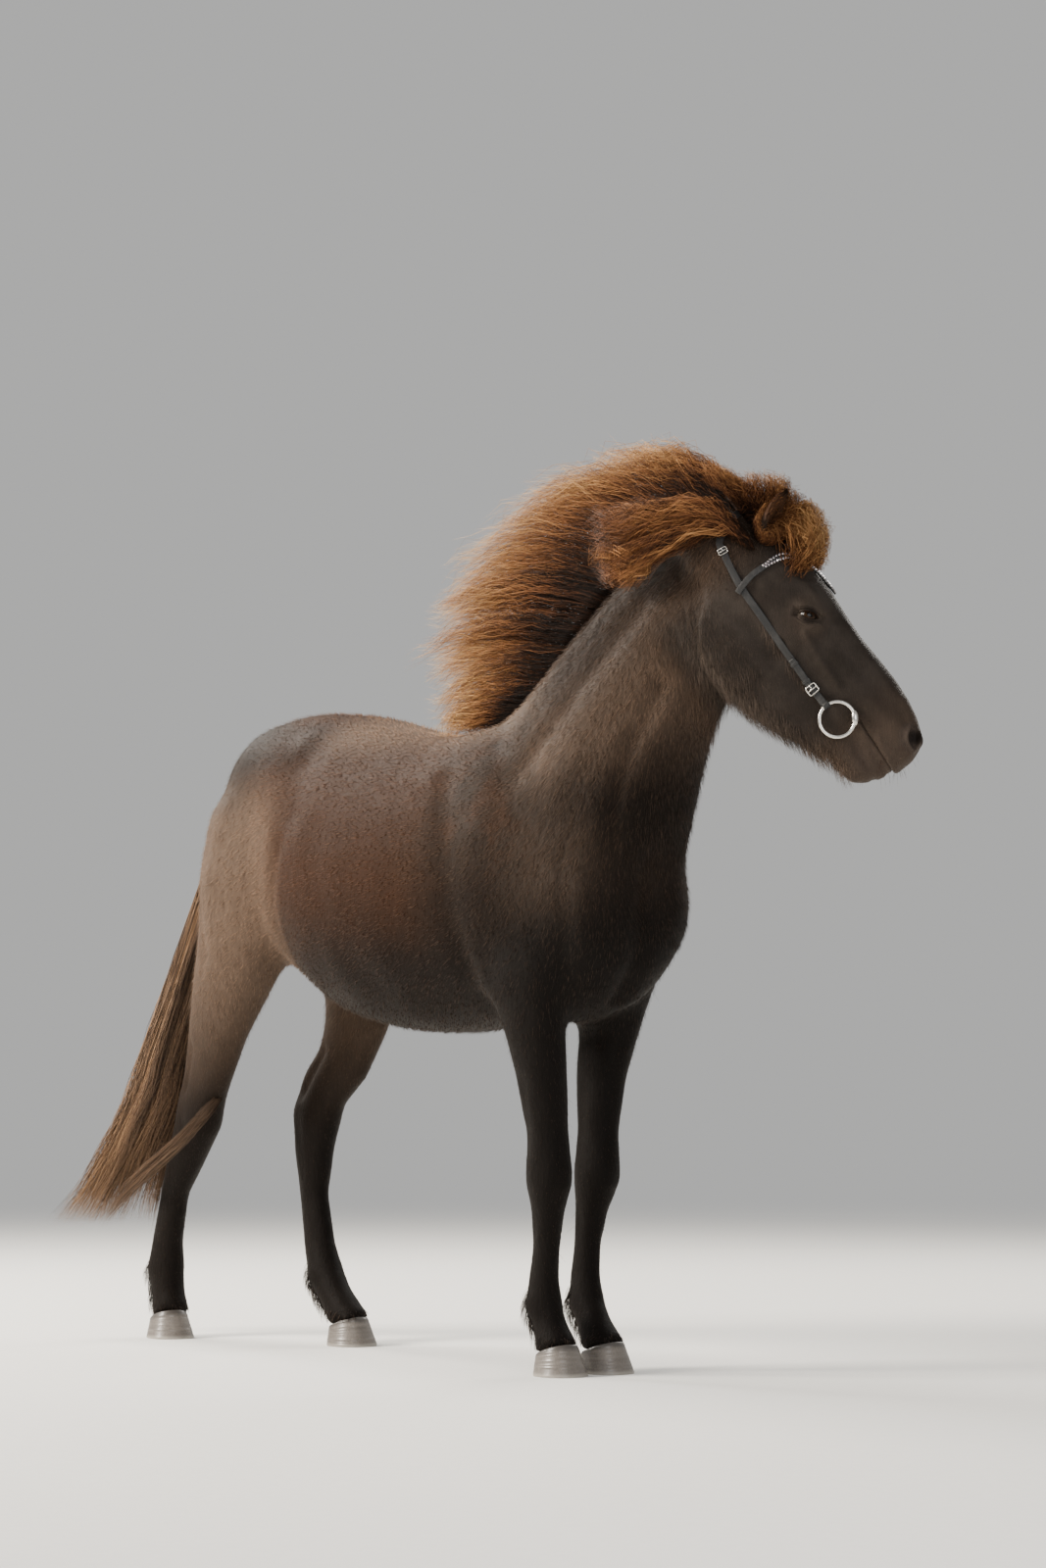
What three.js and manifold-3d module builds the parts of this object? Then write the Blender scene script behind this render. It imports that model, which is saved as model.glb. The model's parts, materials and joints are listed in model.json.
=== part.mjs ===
// A life-size Icelandic horse standing square and looking to its left, in a light show bridle.
//
// Millimetres. +X runs from the tail to the chest, +Y to the horse's left and +Z up. The soles stand on z = 0.
// The body is made of lofts: rows of oval sections, each given by its front (or top) edge, its back (or
// bottom) edge and its half width. Lofts that belong together are fused, and thin planes part them into the
// named pieces.
// The head has its own frame at the poll: x along the face to the nose, y to the left, z out of the forehead.

import * as THREE from "three";
import { mergeVertices } from "three/addons/utils/BufferGeometryUtils.js";
import Module from "manifold-3d";

const wasm = await Module();
wasm.setup();

// Driving sizes

const GAP = 0.3; // air between two pieces that touch
const WITHERS = 1390;
const CROUP = 1456;
const BELLY = 712; // lowest point of the barrel
const HEAD_LENGTH = 590;
const POLL = [449, 85, 1768];
const HEAD_YAW = 44.5; // degrees that the head is turned to the left of the body
const HEAD_DROP = 52.4; // degrees that the face slopes below level
const CORONET = 54; // height of the hoof at its top edge
const SKY = 3000; // larger than the horse, for cutting boxes

const BOTH = [
  ["left", 1],
  ["right", -1],
];

// Solids

function solidOf(geometry, frame) {
  const bare = geometry.index ? geometry.toNonIndexed() : geometry.clone();
  if (frame) bare.applyMatrix4(frame);
  bare.deleteAttribute("normal");
  bare.deleteAttribute("uv");
  const merged = mergeVertices(bare, 1e-3);
  const faces = new Uint32Array(merged.index.array);
  const make = () =>
    new wasm.Manifold(
      new wasm.Mesh({
        numProp: 3,
        vertProperties: merged.attributes.position.array,
        triVerts: faces,
      }),
    );
  const made = make();
  if (made.volume() > 0) return made;
  for (let i = 0; i < faces.length; i += 3) {
    [faces[i + 1], faces[i + 2]] = [faces[i + 2], faces[i + 1]];
  }
  return make();
}

function geometryOf(solid) {
  const mesh = solid.getMesh();
  const points = new Float32Array(mesh.numVert * 3);
  for (let i = 0; i < mesh.numVert; i++) {
    points.set(
      mesh.vertProperties.subarray(i * mesh.numProp, i * mesh.numProp + 3),
      i * 3,
    );
  }
  const geometry = new THREE.BufferGeometry();
  geometry.setAttribute("position", new THREE.BufferAttribute(points, 3));
  geometry.setIndex(new THREE.BufferAttribute(new Uint32Array(mesh.triVerts), 1));
  geometry.computeVertexNormals();
  return geometry;
}

const fuse = (...solids) => solids.flat().reduce((all, one) => all.add(one));

function largest(solid) {
  const bodies = solid.decompose();
  return bodies.reduce((best, one) => (one.volume() > best.volume() ? one : best));
}

const cut = (solid, ...cutters) => cutters.flat().reduce((left, one) => left.subtract(one), solid);

// A box cutter that fills one side of a plane: everything the normal points to.
function halfSpace(point, normal) {
  const box = new THREE.BoxGeometry(SKY * 2, SKY * 2, SKY * 2);
  box.translate(0, 0, SKY);
  const turn = new THREE.Quaternion().setFromUnitVectors(
    new THREE.Vector3(0, 0, 1),
    new THREE.Vector3(...normal).normalize(),
  );
  box.applyQuaternion(turn);
  box.translate(...point);
  return solidOf(box);
}

// Lofts

// One loft through sections { front, back, half, wide, box }: front and back are points, half is the half
// width across them, wide moves the widest place towards the front edge, and box below 1 squares the oval.
// The cylinder's wall becomes the skin, its two ends close the solid, and grow swells it on every side.
// With four sides, square makes a flat strip of the four corners.
function loftGeometry(sections, { sides = 16, steps = 1, grow = 0, square = false } = {}) {
  const vectors = (name) =>
    new THREE.CatmullRomCurve3(sections.map((s) => new THREE.Vector3(...s[name])));
  const sizes = new THREE.CatmullRomCurve3(
    sections.map((s) => new THREE.Vector3(s.half, s.wide ?? 0, s.box ?? 1)),
    false,
    "catmullrom",
    0.5,
  );
  const front = vectors("front");
  const back = vectors("back");
  const middle = (t) => front.getPoint(t).add(back.getPoint(t)).multiplyScalar(0.5);
  const rows = (sections.length - 1) * steps;
  const spread = square ? Math.SQRT2 : 1;
  const geometry = new THREE.CylinderGeometry(spread, spread, 1, sides, rows);
  if (square) geometry.rotateY(Math.PI / 4);
  const position = geometry.attributes.position;
  const step = 1e-3;
  for (let i = 0; i < position.count; i++) {
    const t = 0.5 - position.getY(i);
    const radius = Math.hypot(position.getX(i), position.getZ(i));
    const angle = Math.atan2(position.getZ(i), position.getX(i));
    const centre = middle(t);
    const along = middle(Math.min(1, t + step))
      .sub(middle(Math.max(0, t - step)))
      .normalize();
    const rise = front.getPoint(t).sub(centre);
    const depth = rise.length() + grow;
    rise.normalize();
    const across = new THREE.Vector3().crossVectors(rise, along).normalize();
    const [half, wide, box] = sizes.getPoint(t).toArray();
    const bend = (value) => Math.sign(value) * Math.abs(value) ** box;
    const w = bend(Math.cos(angle)) * radius;
    const v = bend(Math.sin(angle)) * radius + wide * Math.cos(angle) ** 2 * radius;
    centre.addScaledVector(rise, v * depth);
    centre.addScaledVector(across, w * (half + grow));
    centre.addScaledVector(along, t < 1e-6 ? -grow : t > 1 - 1e-6 ? grow : 0);
    position.setXYZ(i, centre.x, centre.y, centre.z);
  }
  return geometry;
}

const loft = (sections, options = {}) => solidOf(loftGeometry(sections, options), options.frame);

// An ellipsoid with its own half sizes, for bulges and hollows.
function bulge(centre, halves, { turn = [0, 0, 0], grow = 0, sides = 10, frame } = {}) {
  const ball = new THREE.SphereGeometry(1, sides, Math.round(sides * 0.6));
  ball.scale(...halves.map((h) => h + grow));
  ball.applyQuaternion(
    new THREE.Quaternion().setFromEuler(new THREE.Euler(...turn, "ZYX")),
  );
  ball.translate(...centre);
  return solidOf(ball, frame);
}

// Random numbers from a seed, so that every build draws the same hair.
function seeded(seed) {
  let state = seed;
  return (low = 0, high = 1) => {
    state = (state * 1664525 + 1013904223) % 4294967296;
    return low + ((high - low) * state) / 4294967296;
  };
}

const mix = (a, b, t) => a + (b - a) * t;

// One flat, tapered lock along a path of points: fullest a third of the way down and thin at its tip.
function lock(path, { width, thick, side, frame, sides = 4 }) {
  const curve = new THREE.CatmullRomCurve3(path.map((p) => new THREE.Vector3(...p)));
  const last = path.length - 1;
  const sections = path.map((point, i) => {
    const t = i / last;
    const swell = Math.sin(Math.PI * (0.24 + 0.72 * t)) ** 0.8;
    const along = curve.getTangent(t);
    const across = new THREE.Vector3(...side).addScaledVector(along, -along.dot(new THREE.Vector3(...side)));
    across.normalize().multiplyScalar((width / 2) * swell);
    const centre = new THREE.Vector3(...point);
    return {
      front: centre.clone().add(across).toArray(),
      back: centre.clone().sub(across).toArray(),
      half: (thick / 2) * swell,
    };
  });
  return loft(sections, { sides, frame });
}

// Torso: sections from the buttocks to the breast, by their height along the back and the belly

const TORSO = [
  // x, top, bottom, half width, widest place, squareness
  [-1204, 1214, 1085, 56, 0, 0.9],
  [-1190, 1314, 995, 118, 0.12, 0.86],
  [-1134, 1396, 940, 166, 0.17, 0.82],
  [-1030, 1438, 890, 200, 0.15, 0.8],
  [-925, CROUP, 845, 222, 0.05, 0.85],
  [-815, CROUP - 4, 795, 244, -0.08, 0.9],
  [-700, 1434, 745, 270, -0.14, 0.92],
  [-550, 1396, 718, 284, -0.16, 0.92],
  [-395, 1376, BELLY, 275, -0.14, 0.93],
  [-255, WITHERS, 724, 248, -0.12, 0.95],
  [-120, 1396, 736, 220, -0.1, 0.96],
  [10, 1340, 732, 197, -0.06, 0.96],
  [110, 1236, 762, 180, 0, 0.95],
  [183, 1132, 846, 152, 0, 0.92],
  [217, 1056, 925, 84, 0, 0.9],
];

function torsoLoft(grow = 0) {
  const sections = TORSO.map(([x, top, bottom, half, wide, box]) => ({
    front: [x, 0, top],
    back: [x, 0, bottom],
    half,
    wide,
    box,
  }));
  return loft(sections, { sides: 24, grow });
}

// Neck: sections from the crest to the throat, each turned a little further to the left

const NECK = [
  // crest x, y, z; underside x, y, z; half width, widest place
  [-362, 0, 1350, 100, 0, 790, 150, -0.2],
  [-247, 0, 1396, 192, 0, 950, 167, -0.3],
  [-115, 3, 1470, 248, 2, 1090, 154, -0.32],
  [5, 10, 1572, 300, 12, 1212, 131, -0.3],
  [123, 24, 1672, 344, 30, 1318, 109, -0.25],
  [243, 44, 1746, 390, 52, 1412, 94, -0.15],
  [351, 66, 1788, 450, 84, 1490, 85, -0.1],
  [436, 88, 1788, 508, 114, 1572, 78, 0],
];

function neckLoft(grow = 0) {
  const sections = NECK.map(([cx, cy, cz, ux, uy, uz, half, wide]) => ({
    front: [cx, cy, cz],
    back: [ux, uy, uz],
    half,
    wide,
    box: 0.95,
  }));
  return loft(sections, { sides: 20, grow });
}

// Legs: named places down each leg, and the sections that every fore or hind leg has at them

const FORE_SECTIONS = {
  // front, back, half width, squareness
  blade: [120, 105, 46, 0.9],
  shoulder: [196, 170, 76, 0.92],
  elbow: [128, 138, 70, 0.92],
  arm: [80, 84, 63, 0.95],
  forearm: [62, 62, 53, 1],
  overKnee: [50, 48, 45, 1],
  knee: [53, 55, 49, 0.9],
  underKnee: [34, 42, 35, 0.95],
  cannon: [29, 38, 28, 1],
  overFetlock: [33, 42, 31, 1],
  fetlock: [40, 50, 40, 0.95],
  pastern: [37, 38, 37, 0.95],
  coronet: [48, 46, 45, 0.95],
  sole: [48, 46, 45, 0.95],
};

const FORE_PLACES = {
  left: {
    blade: [-180, 86, 1250],
    shoulder: [-48, 122, 1030],
    elbow: [-48, 130, 840],
    arm: [-55, 118, 730],
    forearm: [-66, 102, 620],
    overKnee: [-62, 90, 510],
    knee: [-55, 83, 408],
    underKnee: [-66, 79, 340],
    cannon: [-74, 75, 265],
    overFetlock: [-77, 71, 200],
    fetlock: [-70, 67, 142],
    pastern: [-38, 61, 100],
    coronet: [-8, 58, CORONET],
    sole: [18, 56, 34],
  },
  right: {
    blade: [-180, -86, 1250],
    shoulder: [-48, -122, 1030],
    elbow: [-27, -130, 840],
    arm: [-12, -118, 730],
    forearm: [-10, -102, 620],
    overKnee: [-9, -90, 510],
    knee: [-9, -83, 408],
    underKnee: [-16, -79, 340],
    cannon: [-26, -75, 265],
    overFetlock: [-38, -72, 200],
    fetlock: [-42, -69, 142],
    pastern: [-26, -68, 100],
    coronet: [-6, -68, CORONET],
    sole: [14, -68, 34],
  },
};

const HIND_SECTIONS = {
  croup: [112, 118, 62, 1],
  haunch: [165, 176, 96, 1],
  thigh: [172, 192, 106, 0.96],
  stifle: [122, 152, 86, 0.95],
  gaskin: [94, 114, 61, 0.95],
  lowGaskin: [72, 99, 50, 1],
  overHock: [60, 88, 45, 0.95],
  hock: [62, 80, 46, 0.85],
  underHock: [50, 60, 41, 0.9],
  cannon: [35, 46, 32, 1],
  overFetlock: [39, 48, 35, 1],
  fetlock: [47, 54, 43, 0.95],
  pastern: [41, 42, 39, 0.95],
  coronet: [48, 46, 44, 0.95],
  sole: [48, 46, 44, 0.95],
};

const HIND_PLACES = {
  left: {
    croup: [-1000, 92, 1330],
    haunch: [-1020, 124, 1205],
    thigh: [-1000, 138, 1060],
    stifle: [-985, 148, 890],
    gaskin: [-1000, 136, 740],
    lowGaskin: [-1030, 120, 645],
    overHock: [-1088, 109, 580],
    hock: [-1118, 104, 515],
    underHock: [-1124, 100, 440],
    cannon: [-1118, 97, 340],
    overFetlock: [-1092, 94, 225],
    fetlock: [-1070, 92, 160],
    pastern: [-1022, 88, 108],
    coronet: [-966, 85, CORONET],
    sole: [-932, 83, 30],
  },
  right: {
    croup: [-1000, -92, 1330],
    haunch: [-1028, -124, 1205],
    thigh: [-1025, -138, 1060],
    stifle: [-1062, -150, 890],
    gaskin: [-1165, -139, 745],
    lowGaskin: [-1221, -124, 645],
    overHock: [-1257, -115, 585],
    hock: [-1293, -109, 520],
    underHock: [-1348, -104, 440],
    cannon: [-1408, -101, 345],
    overFetlock: [-1446, -97, 230],
    fetlock: [-1456, -96, 160],
    pastern: [-1445, -99, 106],
    coronet: [-1426, -104, CORONET],
    sole: [-1410, -108, 30],
  },
};

// A leg's sections stand across its own line, so that a slanting bone keeps its thickness.
function legLoft(places, shapes, { sides, grow = 0 }) {
  const names = Object.keys(places);
  const line = names.map((name) => new THREE.Vector3(...places[name]));
  const sections = names.map((name, i) => {
    const before = line[Math.max(0, i - 1)];
    const after = line[Math.min(line.length - 1, i + 1)];
    const down = after.clone().sub(before).setY(0).normalize();
    const ahead = new THREE.Vector3(-down.z, 0, down.x);
    const [front, back, half, box] = shapes[name];
    return {
      front: line[i].clone().addScaledVector(ahead, front).toArray(),
      back: line[i].clone().addScaledVector(ahead, -back).toArray(),
      half,
      box,
    };
  });
  return loft(sections, { sides, grow });
}

const foreLeg = (side, grow) =>
  legLoft(FORE_PLACES[side], FORE_SECTIONS, { sides: 12, grow });
const hindLeg = (side, grow) =>
  legLoft(HIND_PLACES[side], HIND_SECTIONS, { sides: 14, grow });

// Head, in its own frame

const headMatrix = new THREE.Matrix4().compose(
  new THREE.Vector3(...POLL),
  new THREE.Quaternion()
    .setFromAxisAngle(new THREE.Vector3(0, 0, 1), THREE.MathUtils.degToRad(HEAD_YAW))
    .multiply(
      new THREE.Quaternion().setFromAxisAngle(
        new THREE.Vector3(0, 1, 0),
        THREE.MathUtils.degToRad(HEAD_DROP),
      ),
    ),
  new THREE.Vector3(1, 1, 1),
);

const headPoint = (...p) => new THREE.Vector3(...p).applyMatrix4(headMatrix);
const headDirection = (...p) => new THREE.Vector3(...p).transformDirection(headMatrix);

const CRANIUM = [
  // x, top, bottom, half width, widest place, squareness
  [-70, -40, -150, 50, 0, 1],
  [-35, -4, -165, 66, 0, 0.95],
  [15, 12, -175, 78, 0, 0.92],
  [80, 26, -178, 84, 0.05, 0.88],
  [150, 37, -176, 88, 0.1, 0.82],
  [215, 39, -170, 87, 0.18, 0.8],
  [270, 33, -164, 76, 0.15, 0.78],
  [330, 28, -154, 65, 0.1, 0.78],
  [390, 30, -146, 57, 0, 0.8],
  [440, 30, -138, 53, 0, 0.84],
  [490, 25, -126, 54, 0, 0.86],
  [530, 16, -116, 56, 0, 0.88],
  [562, 3, -106, 53, 0, 0.88],
  [584, -18, -98, 41, 0, 0.9],
  [HEAD_LENGTH + 4, -44, -82, 20, 0, 0.95],
];

const JAW = [
  [15, -90, -135, 36, 0, 1],
  [60, -70, -198, 62, 0, 0.95],
  [115, -60, -246, 70, 0, 0.9],
  [185, -60, -270, 72, 0, 0.9],
  [260, -70, -266, 66, 0, 0.9],
  [330, -80, -246, 54, 0, 0.9],
  [400, -84, -218, 44, 0, 0.9],
  [460, -86, -194, 41, 0, 0.9],
  [510, -88, -178, 41, 0, 0.9],
  [545, -90, -168, 38, 0, 0.9],
  [570, -92, -150, 28, 0, 0.95],
  [582, -100, -124, 12, 0, 1],
];

const EYE = [236, 70, -32];
const EYE_RADIUS = 21;
const NOSTRIL = [562, 42, -14];
const MOUTH = [458, -84]; // corner of the mouth, where the bit lies
const LIPS = { from: 464, slope: 0.11, open: 2.6 };

function faceLoft(rows, { sides, grow }) {
  const sections = rows.map(([x, top, bottom, half, wide, box]) => ({
    front: [x, 0, top],
    back: [x, 0, bottom],
    half,
    wide,
    box,
  }));
  return loft(sections, { sides, grow, frame: headMatrix });
}

function headLoft(grow = 0) {
  const pieces = [
    faceLoft(CRANIUM, { sides: 18, grow }),
    faceLoft(JAW, { sides: 12, grow }),
  ];
  for (const [, way] of BOTH) {
    const [x, y, z] = EYE;
    pieces.push(
      bulge([x - 3, way * y, z + 2], [44, 27, 28], { grow, frame: headMatrix }),
      bulge([172, way * 55, -176], [100, 22, 74], {
        turn: [0, 0.3, 0],
        grow,
        sides: 12,
        frame: headMatrix,
      }),
      bulge([NOSTRIL[0] - 8, way * (NOSTRIL[1] - 4), NOSTRIL[2] - 8], [28, 17, 27], {
        grow,
        frame: headMatrix,
      }),
    );
  }
  return fuse(pieces);
}

// Body wholes, each also as a cutter swollen by the gap

const torsoWhole = torsoLoft();
const neckWhole = neckLoft();
const headWhole = headLoft();
const headClear = headLoft(GAP);
const neckClear = neckLoft(GAP);
const torsoClear = torsoLoft(GAP);

const root = new THREE.Group();

function add(name, shape, [color, roughness, metalness = 0]) {
  const geometry = shape.isBufferGeometry ? shape : geometryOf(shape);
  const material = new THREE.MeshStandardMaterial({ color, roughness, metalness });
  const mesh = new THREE.Mesh(geometry, material);
  mesh.name = name;
  root.add(mesh);
  return mesh;
}

const COAT = [0x2a201b, 0.75];
const HAIR = [0x4a2c1b, 0.8];
const HORN = [0x6f6a64, 0.45];
const LEATHER = [0x141312, 0.5];
const STEEL = [0xd8d4cc, 0.2, 1];
const GLASS = [0xe9eef2, 0.05];
const EYEBALL = [0x120b08, 0.1];

// Hooves: one shape, set down four times. Its top slopes back with the coronet.

const HOOF = { length: 124, width: 113, top: 94, topWidth: 86, toe: 67, heel: 38, lean: 13 };

const hoofSections = () => {
  const { length, width, top, topWidth, toe, heel, lean } = HOOF;
  const middle = -lean;
  return [
    [middle + top / 2, toe, middle - top / 2, heel, topWidth / 2 - 3],
    [middle + top / 2 + 3, toe - 5, middle - top / 2 - 2, heel - 4, topWidth / 2],
    [length / 2 - 1, 5, -length / 2 + 2, 5, width / 2 - 0.5],
    [length / 2 - 3, 0, -length / 2 + 4, 0, width / 2 - 2.5],
  ].map(([fx, fz, bx, bz, half]) => ({ front: [fx, 0, fz], back: [bx, 0, bz], half, box: 0.92 }));
};

const hoofShape = geometryOf(loft(hoofSections(), { sides: 18 }));

// x, y and turn in degrees of each hoof
const HOOVES = {
  front_left: [8, 56, 4],
  front_right: [7, -68, -4],
  hind_left: [-953, 83, 3],
  hind_right: [-1419, -110, -14],
};

const hoofFrame = (name) => {
  const [x, y, turn] = HOOVES[name];
  return new THREE.Matrix4().compose(
    new THREE.Vector3(x, y, 0),
    new THREE.Quaternion().setFromAxisAngle(
      new THREE.Vector3(0, 0, 1),
      THREE.MathUtils.degToRad(turn),
    ),
    new THREE.Vector3(1, 1, 1),
  );
};

// Everything below a hoof's sloping top, so that the leg ends flat on it
function belowCoronet(name) {
  const frame = hoofFrame(name);
  const { top, toe, heel, lean } = HOOF;
  const down = new THREE.Vector3(toe - heel, 0, -top).normalize();
  const point = new THREE.Vector3(-lean, 0, (toe + heel) / 2).addScaledVector(down, -GAP);
  return halfSpace(
    point.applyMatrix4(frame).toArray(),
    down.transformDirection(frame).toArray(),
  );
}

for (const name of Object.keys(HOOVES)) {
  const hoof = add(`hoof_${name}`, hoofShape, HORN);
  const [x, y, turn] = HOOVES[name];
  hoof.position.set(x, y, 0);
  hoof.rotation.z = THREE.MathUtils.degToRad(turn);
}

// Legs: cut from the trunk where they leave it, with the long hair behind each fetlock

const LEG_TOP = { front: 800, hind: 880 };
const FEATHER = { front: { top: 156, length: 92 }, hind: { top: 132, length: 72 } };

function fetlockHair(places, { top, length: longest }, seed) {
  const draw = seeded(seed);
  const [fx, fy, fz] = places.fetlock;
  const [px, , pz] = places.pastern;
  const middle = mix(fx, px, Math.max(0, (fz - top) / (fz - pz)));
  const locks = [];
  for (let i = 0; i < 5; i++) {
    const turn = mix(-0.9, 0.9, i / 4);
    const back = new THREE.Vector3(-Math.cos(turn), Math.sin(turn) * 0.8, 0);
    const start = new THREE.Vector3(middle - 12, fy, top + draw(-6, 8)).addScaledVector(back, 22);
    const length = longest + draw(-8, 8) - 14 * Math.abs(turn);
    const path = [0, 0.4, 0.75, 1].map((t) => {
      const point = start.clone().addScaledVector(back, 14 + 30 * Math.sin(t * 1.9));
      point.z -= length * t;
      point.x += (px - fx) * 0.25 * t;
      return point.toArray();
    });
    locks.push(lock(path, { width: 24, thick: 12, side: [-back.y, back.x, 0] }));
  }
  return locks;
}

const upperLegs = [];
for (const [side] of BOTH) {
  for (const end of ["front", "hind"]) {
    const name = `${end}_${side}`;
    const whole = end === "front" ? foreLeg(side, 0) : hindLeg(side, 0);
    const places = end === "front" ? FORE_PLACES[side] : HIND_PLACES[side];
    const top = LEG_TOP[end];
    const hair = fetlockHair(places, FEATHER[end], end.length * 7 + side.length);
    const hoof = loft(hoofSections(), { sides: 18, grow: 1.5, frame: hoofFrame(name) });
    const leg = cut(
      fuse(cut(whole, belowCoronet(name)), cut(fuse(hair), hoof)),
      halfSpace([0, 0, top], [0, 0, 1]),
      torsoClear,
    );
    add(`leg_${name}`, largest(leg), COAT);
    upperLegs.push(cut(whole, halfSpace([0, 0, top + GAP], [0, 0, -1])));
  }
}

// Trunk, neck and head

const NECK_CUT = { point: [-20, 0, 1180], normal: [0.69, 0, 0.72] };
const seam = new THREE.Vector3(...NECK_CUT.normal).normalize();
const ahead = halfSpace(NECK_CUT.point, NECK_CUT.normal);
const behind = halfSpace(
  new THREE.Vector3(...NECK_CUT.point).addScaledVector(seam, GAP).toArray(),
  seam.clone().negate().toArray(),
);
const trunk = fuse(torsoWhole, neckWhole, upperLegs);
add("torso", largest(cut(trunk, ahead)), COAT);
add("neck", largest(cut(trunk, behind, headClear)), COAT);

// Bit: a plain bar through the corners of the mouth, with a loose ring at each end

const RING = { radius: 36, wire: 4, side: 60, centre: [438, -114] };

function ringFrame(way) {
  const [x, z] = RING.centre;
  return new THREE.Matrix4().makeTranslation(x, way * RING.side, z).premultiply(headMatrix);
}

const ringShape = (grow = 0) => {
  const torus = new THREE.TorusGeometry(RING.radius, RING.wire + grow, 6, 18);
  torus.rotateX(Math.PI / 2);
  return torus;
};

const ringHoles = BOTH.map(([, way]) => solidOf(ringShape(0.45), ringFrame(way)));

function bitBar(grow = 0) {
  const bar = new THREE.CylinderGeometry(7 + grow, 7 + grow, RING.side * 2, 8, 1);
  bar.translate(MOUTH[0], 0, MOUTH[1]);
  return fuse(
    solidOf(bar, headMatrix),
    BOTH.map(([, way]) =>
      bulge([MOUTH[0], way * RING.side, MOUTH[1]], [10.5, 8, 10.5], { grow, sides: 8, frame: headMatrix }),
    ),
  );
}

add("bit_mouthpiece", largest(cut(bitBar(), ringHoles)), STEEL);
for (const [side, way] of BOTH) {
  const ring = add(`bit_ring_${side}`, ringShape(), STEEL);
  ring.applyMatrix4(ringFrame(way));
}

// Head: eye sockets behind almond openings, nostrils and the parted lips

const lidOpening = (way) =>
  bulge([EYE[0], way * (EYE[1] + 22), EYE[2]], [23, 30, 12], {
    turn: [0, -0.2, 0],
    frame: headMatrix,
  });

const socket = (way) =>
  bulge([EYE[0], way * EYE[1], EYE[2]], [EYE_RADIUS, EYE_RADIUS, EYE_RADIUS], {
    grow: GAP,
    sides: 12,
    frame: headMatrix,
  });

const nostrilPit = (way) =>
  bulge([NOSTRIL[0] + 2, way * (NOSTRIL[1] + 15), NOSTRIL[2]], [20, 17, 11], {
    turn: [0, 0.66, 0],
    frame: headMatrix,
  });

function mouthLine() {
  const slot = new THREE.BoxGeometry(160, 160, LIPS.open);
  slot.translate(80, 0, 0);
  slot.rotateY(LIPS.slope);
  slot.translate(LIPS.from, 0, MOUTH[1] + 4);
  return solidOf(slot, headMatrix);
}

const headCuts = BOTH.flatMap(([, way]) => [socket(way), lidOpening(way), nostrilPit(way)]);
add("head", largest(cut(headWhole, headCuts, mouthLine(), bitBar(GAP + 0.1))), COAT);

const eyeShape = bulge([0, 0, 0], [EYE_RADIUS, EYE_RADIUS, EYE_RADIUS], { sides: 12 });
for (const [side, way] of BOTH) {
  const eye = add(`eye_${side}`, geometryOf(eyeShape), EYEBALL);
  eye.position.copy(headPoint(EYE[0], way * EYE[1], EYE[2]));
  eye.quaternion.setFromRotationMatrix(headMatrix);
}

// Ears: a leaf rolled into a cup that opens forwards and out

const EAR = {
  base: [50, 56, 4],
  axis: [-0.44, 0.04, 0.9],
  facing: [0.66, 0.5, 0.56],
  length: 106,
};

// along the ear from 0 to 1, half width, depth in front, depth behind
const EAR_SECTIONS = [
  [-0.08, 17, 15, 17],
  [0.12, 22, 17, 20],
  [0.34, 27, 16, 20],
  [0.56, 26, 12, 16],
  [0.76, 19, 8, 12],
  [0.92, 9, 4, 6],
  [1, 2.5, 1.5, 2],
];

function earLoft(way, { inner = false, grow = 0 } = {}) {
  const mirror = ([x, y, z]) => new THREE.Vector3(x, way * y, z);
  const axis = mirror(EAR.axis).normalize();
  const facing = mirror(EAR.facing);
  facing.addScaledVector(axis, -facing.dot(axis)).normalize();
  const rows = inner ? EAR_SECTIONS.slice(1, -1) : EAR_SECTIONS;
  const sections = rows.map(([t, half, ahead, back]) => {
    const centre = mirror(EAR.base).addScaledVector(axis, EAR.length * t);
    const reach = inner ? ahead + 14 : ahead;
    const depth = inner ? Math.max(back - 4.5, 1) : back;
    return {
      front: centre.clone().addScaledVector(facing, reach).toArray(),
      back: centre.clone().addScaledVector(facing, -depth).toArray(),
      half: inner ? Math.max(half - 4, 1.5) : half,
    };
  });
  return loft(sections, { sides: 10, grow, frame: headMatrix });
}

const ears = BOTH.map(([, way]) => cut(earLoft(way), earLoft(way, { inner: true }), headClear, neckClear));
BOTH.forEach(([side], i) => add(`ear_${side}`, largest(ears[i]), COAT));

// Straps: stations where rays meet the skin, joined by a flat ribbon that lies on it

const skin = new THREE.Mesh(geometryOf(fuse(headWhole, neckWhole)), new THREE.MeshBasicMaterial());

// A station aims at the point (x, 0, z) of the head's middle plane, from the side or from tilt degrees
// above it.
function touch([x, z, tilt = 0, lift = 1.2], way) {
  const up = THREE.MathUtils.degToRad(tilt);
  const out = headDirection(0, way * Math.cos(up), Math.sin(up));
  const aim = headPoint(x, 0, z);
  const from = aim.clone().addScaledVector(out, 400);
  const [hit] = new THREE.Raycaster(from, out.clone().negate()).intersectObject(skin);
  const normal = hit.face.normal.clone();
  return { point: hit.point, out: out.lerp(normal, 0.6).normalize(), lift };
}

// The strap's middle at each station, with the directions along it, across it and out of the skin
function strapLine(stations, height) {
  const places = stations.map(([station, way]) => touch(station, way));
  const points = places.map((p) => p.point.clone().addScaledVector(p.out, p.lift + height));
  return points.map((point, i) => {
    const along = points[Math.min(i + 1, points.length - 1)]
      .clone()
      .sub(points[Math.max(i - 1, 0)])
      .normalize();
    const across = new THREE.Vector3().crossVectors(along, places[i].out).normalize();
    return { point, along, across, out: new THREE.Vector3().crossVectors(across, along) };
  });
}

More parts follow.
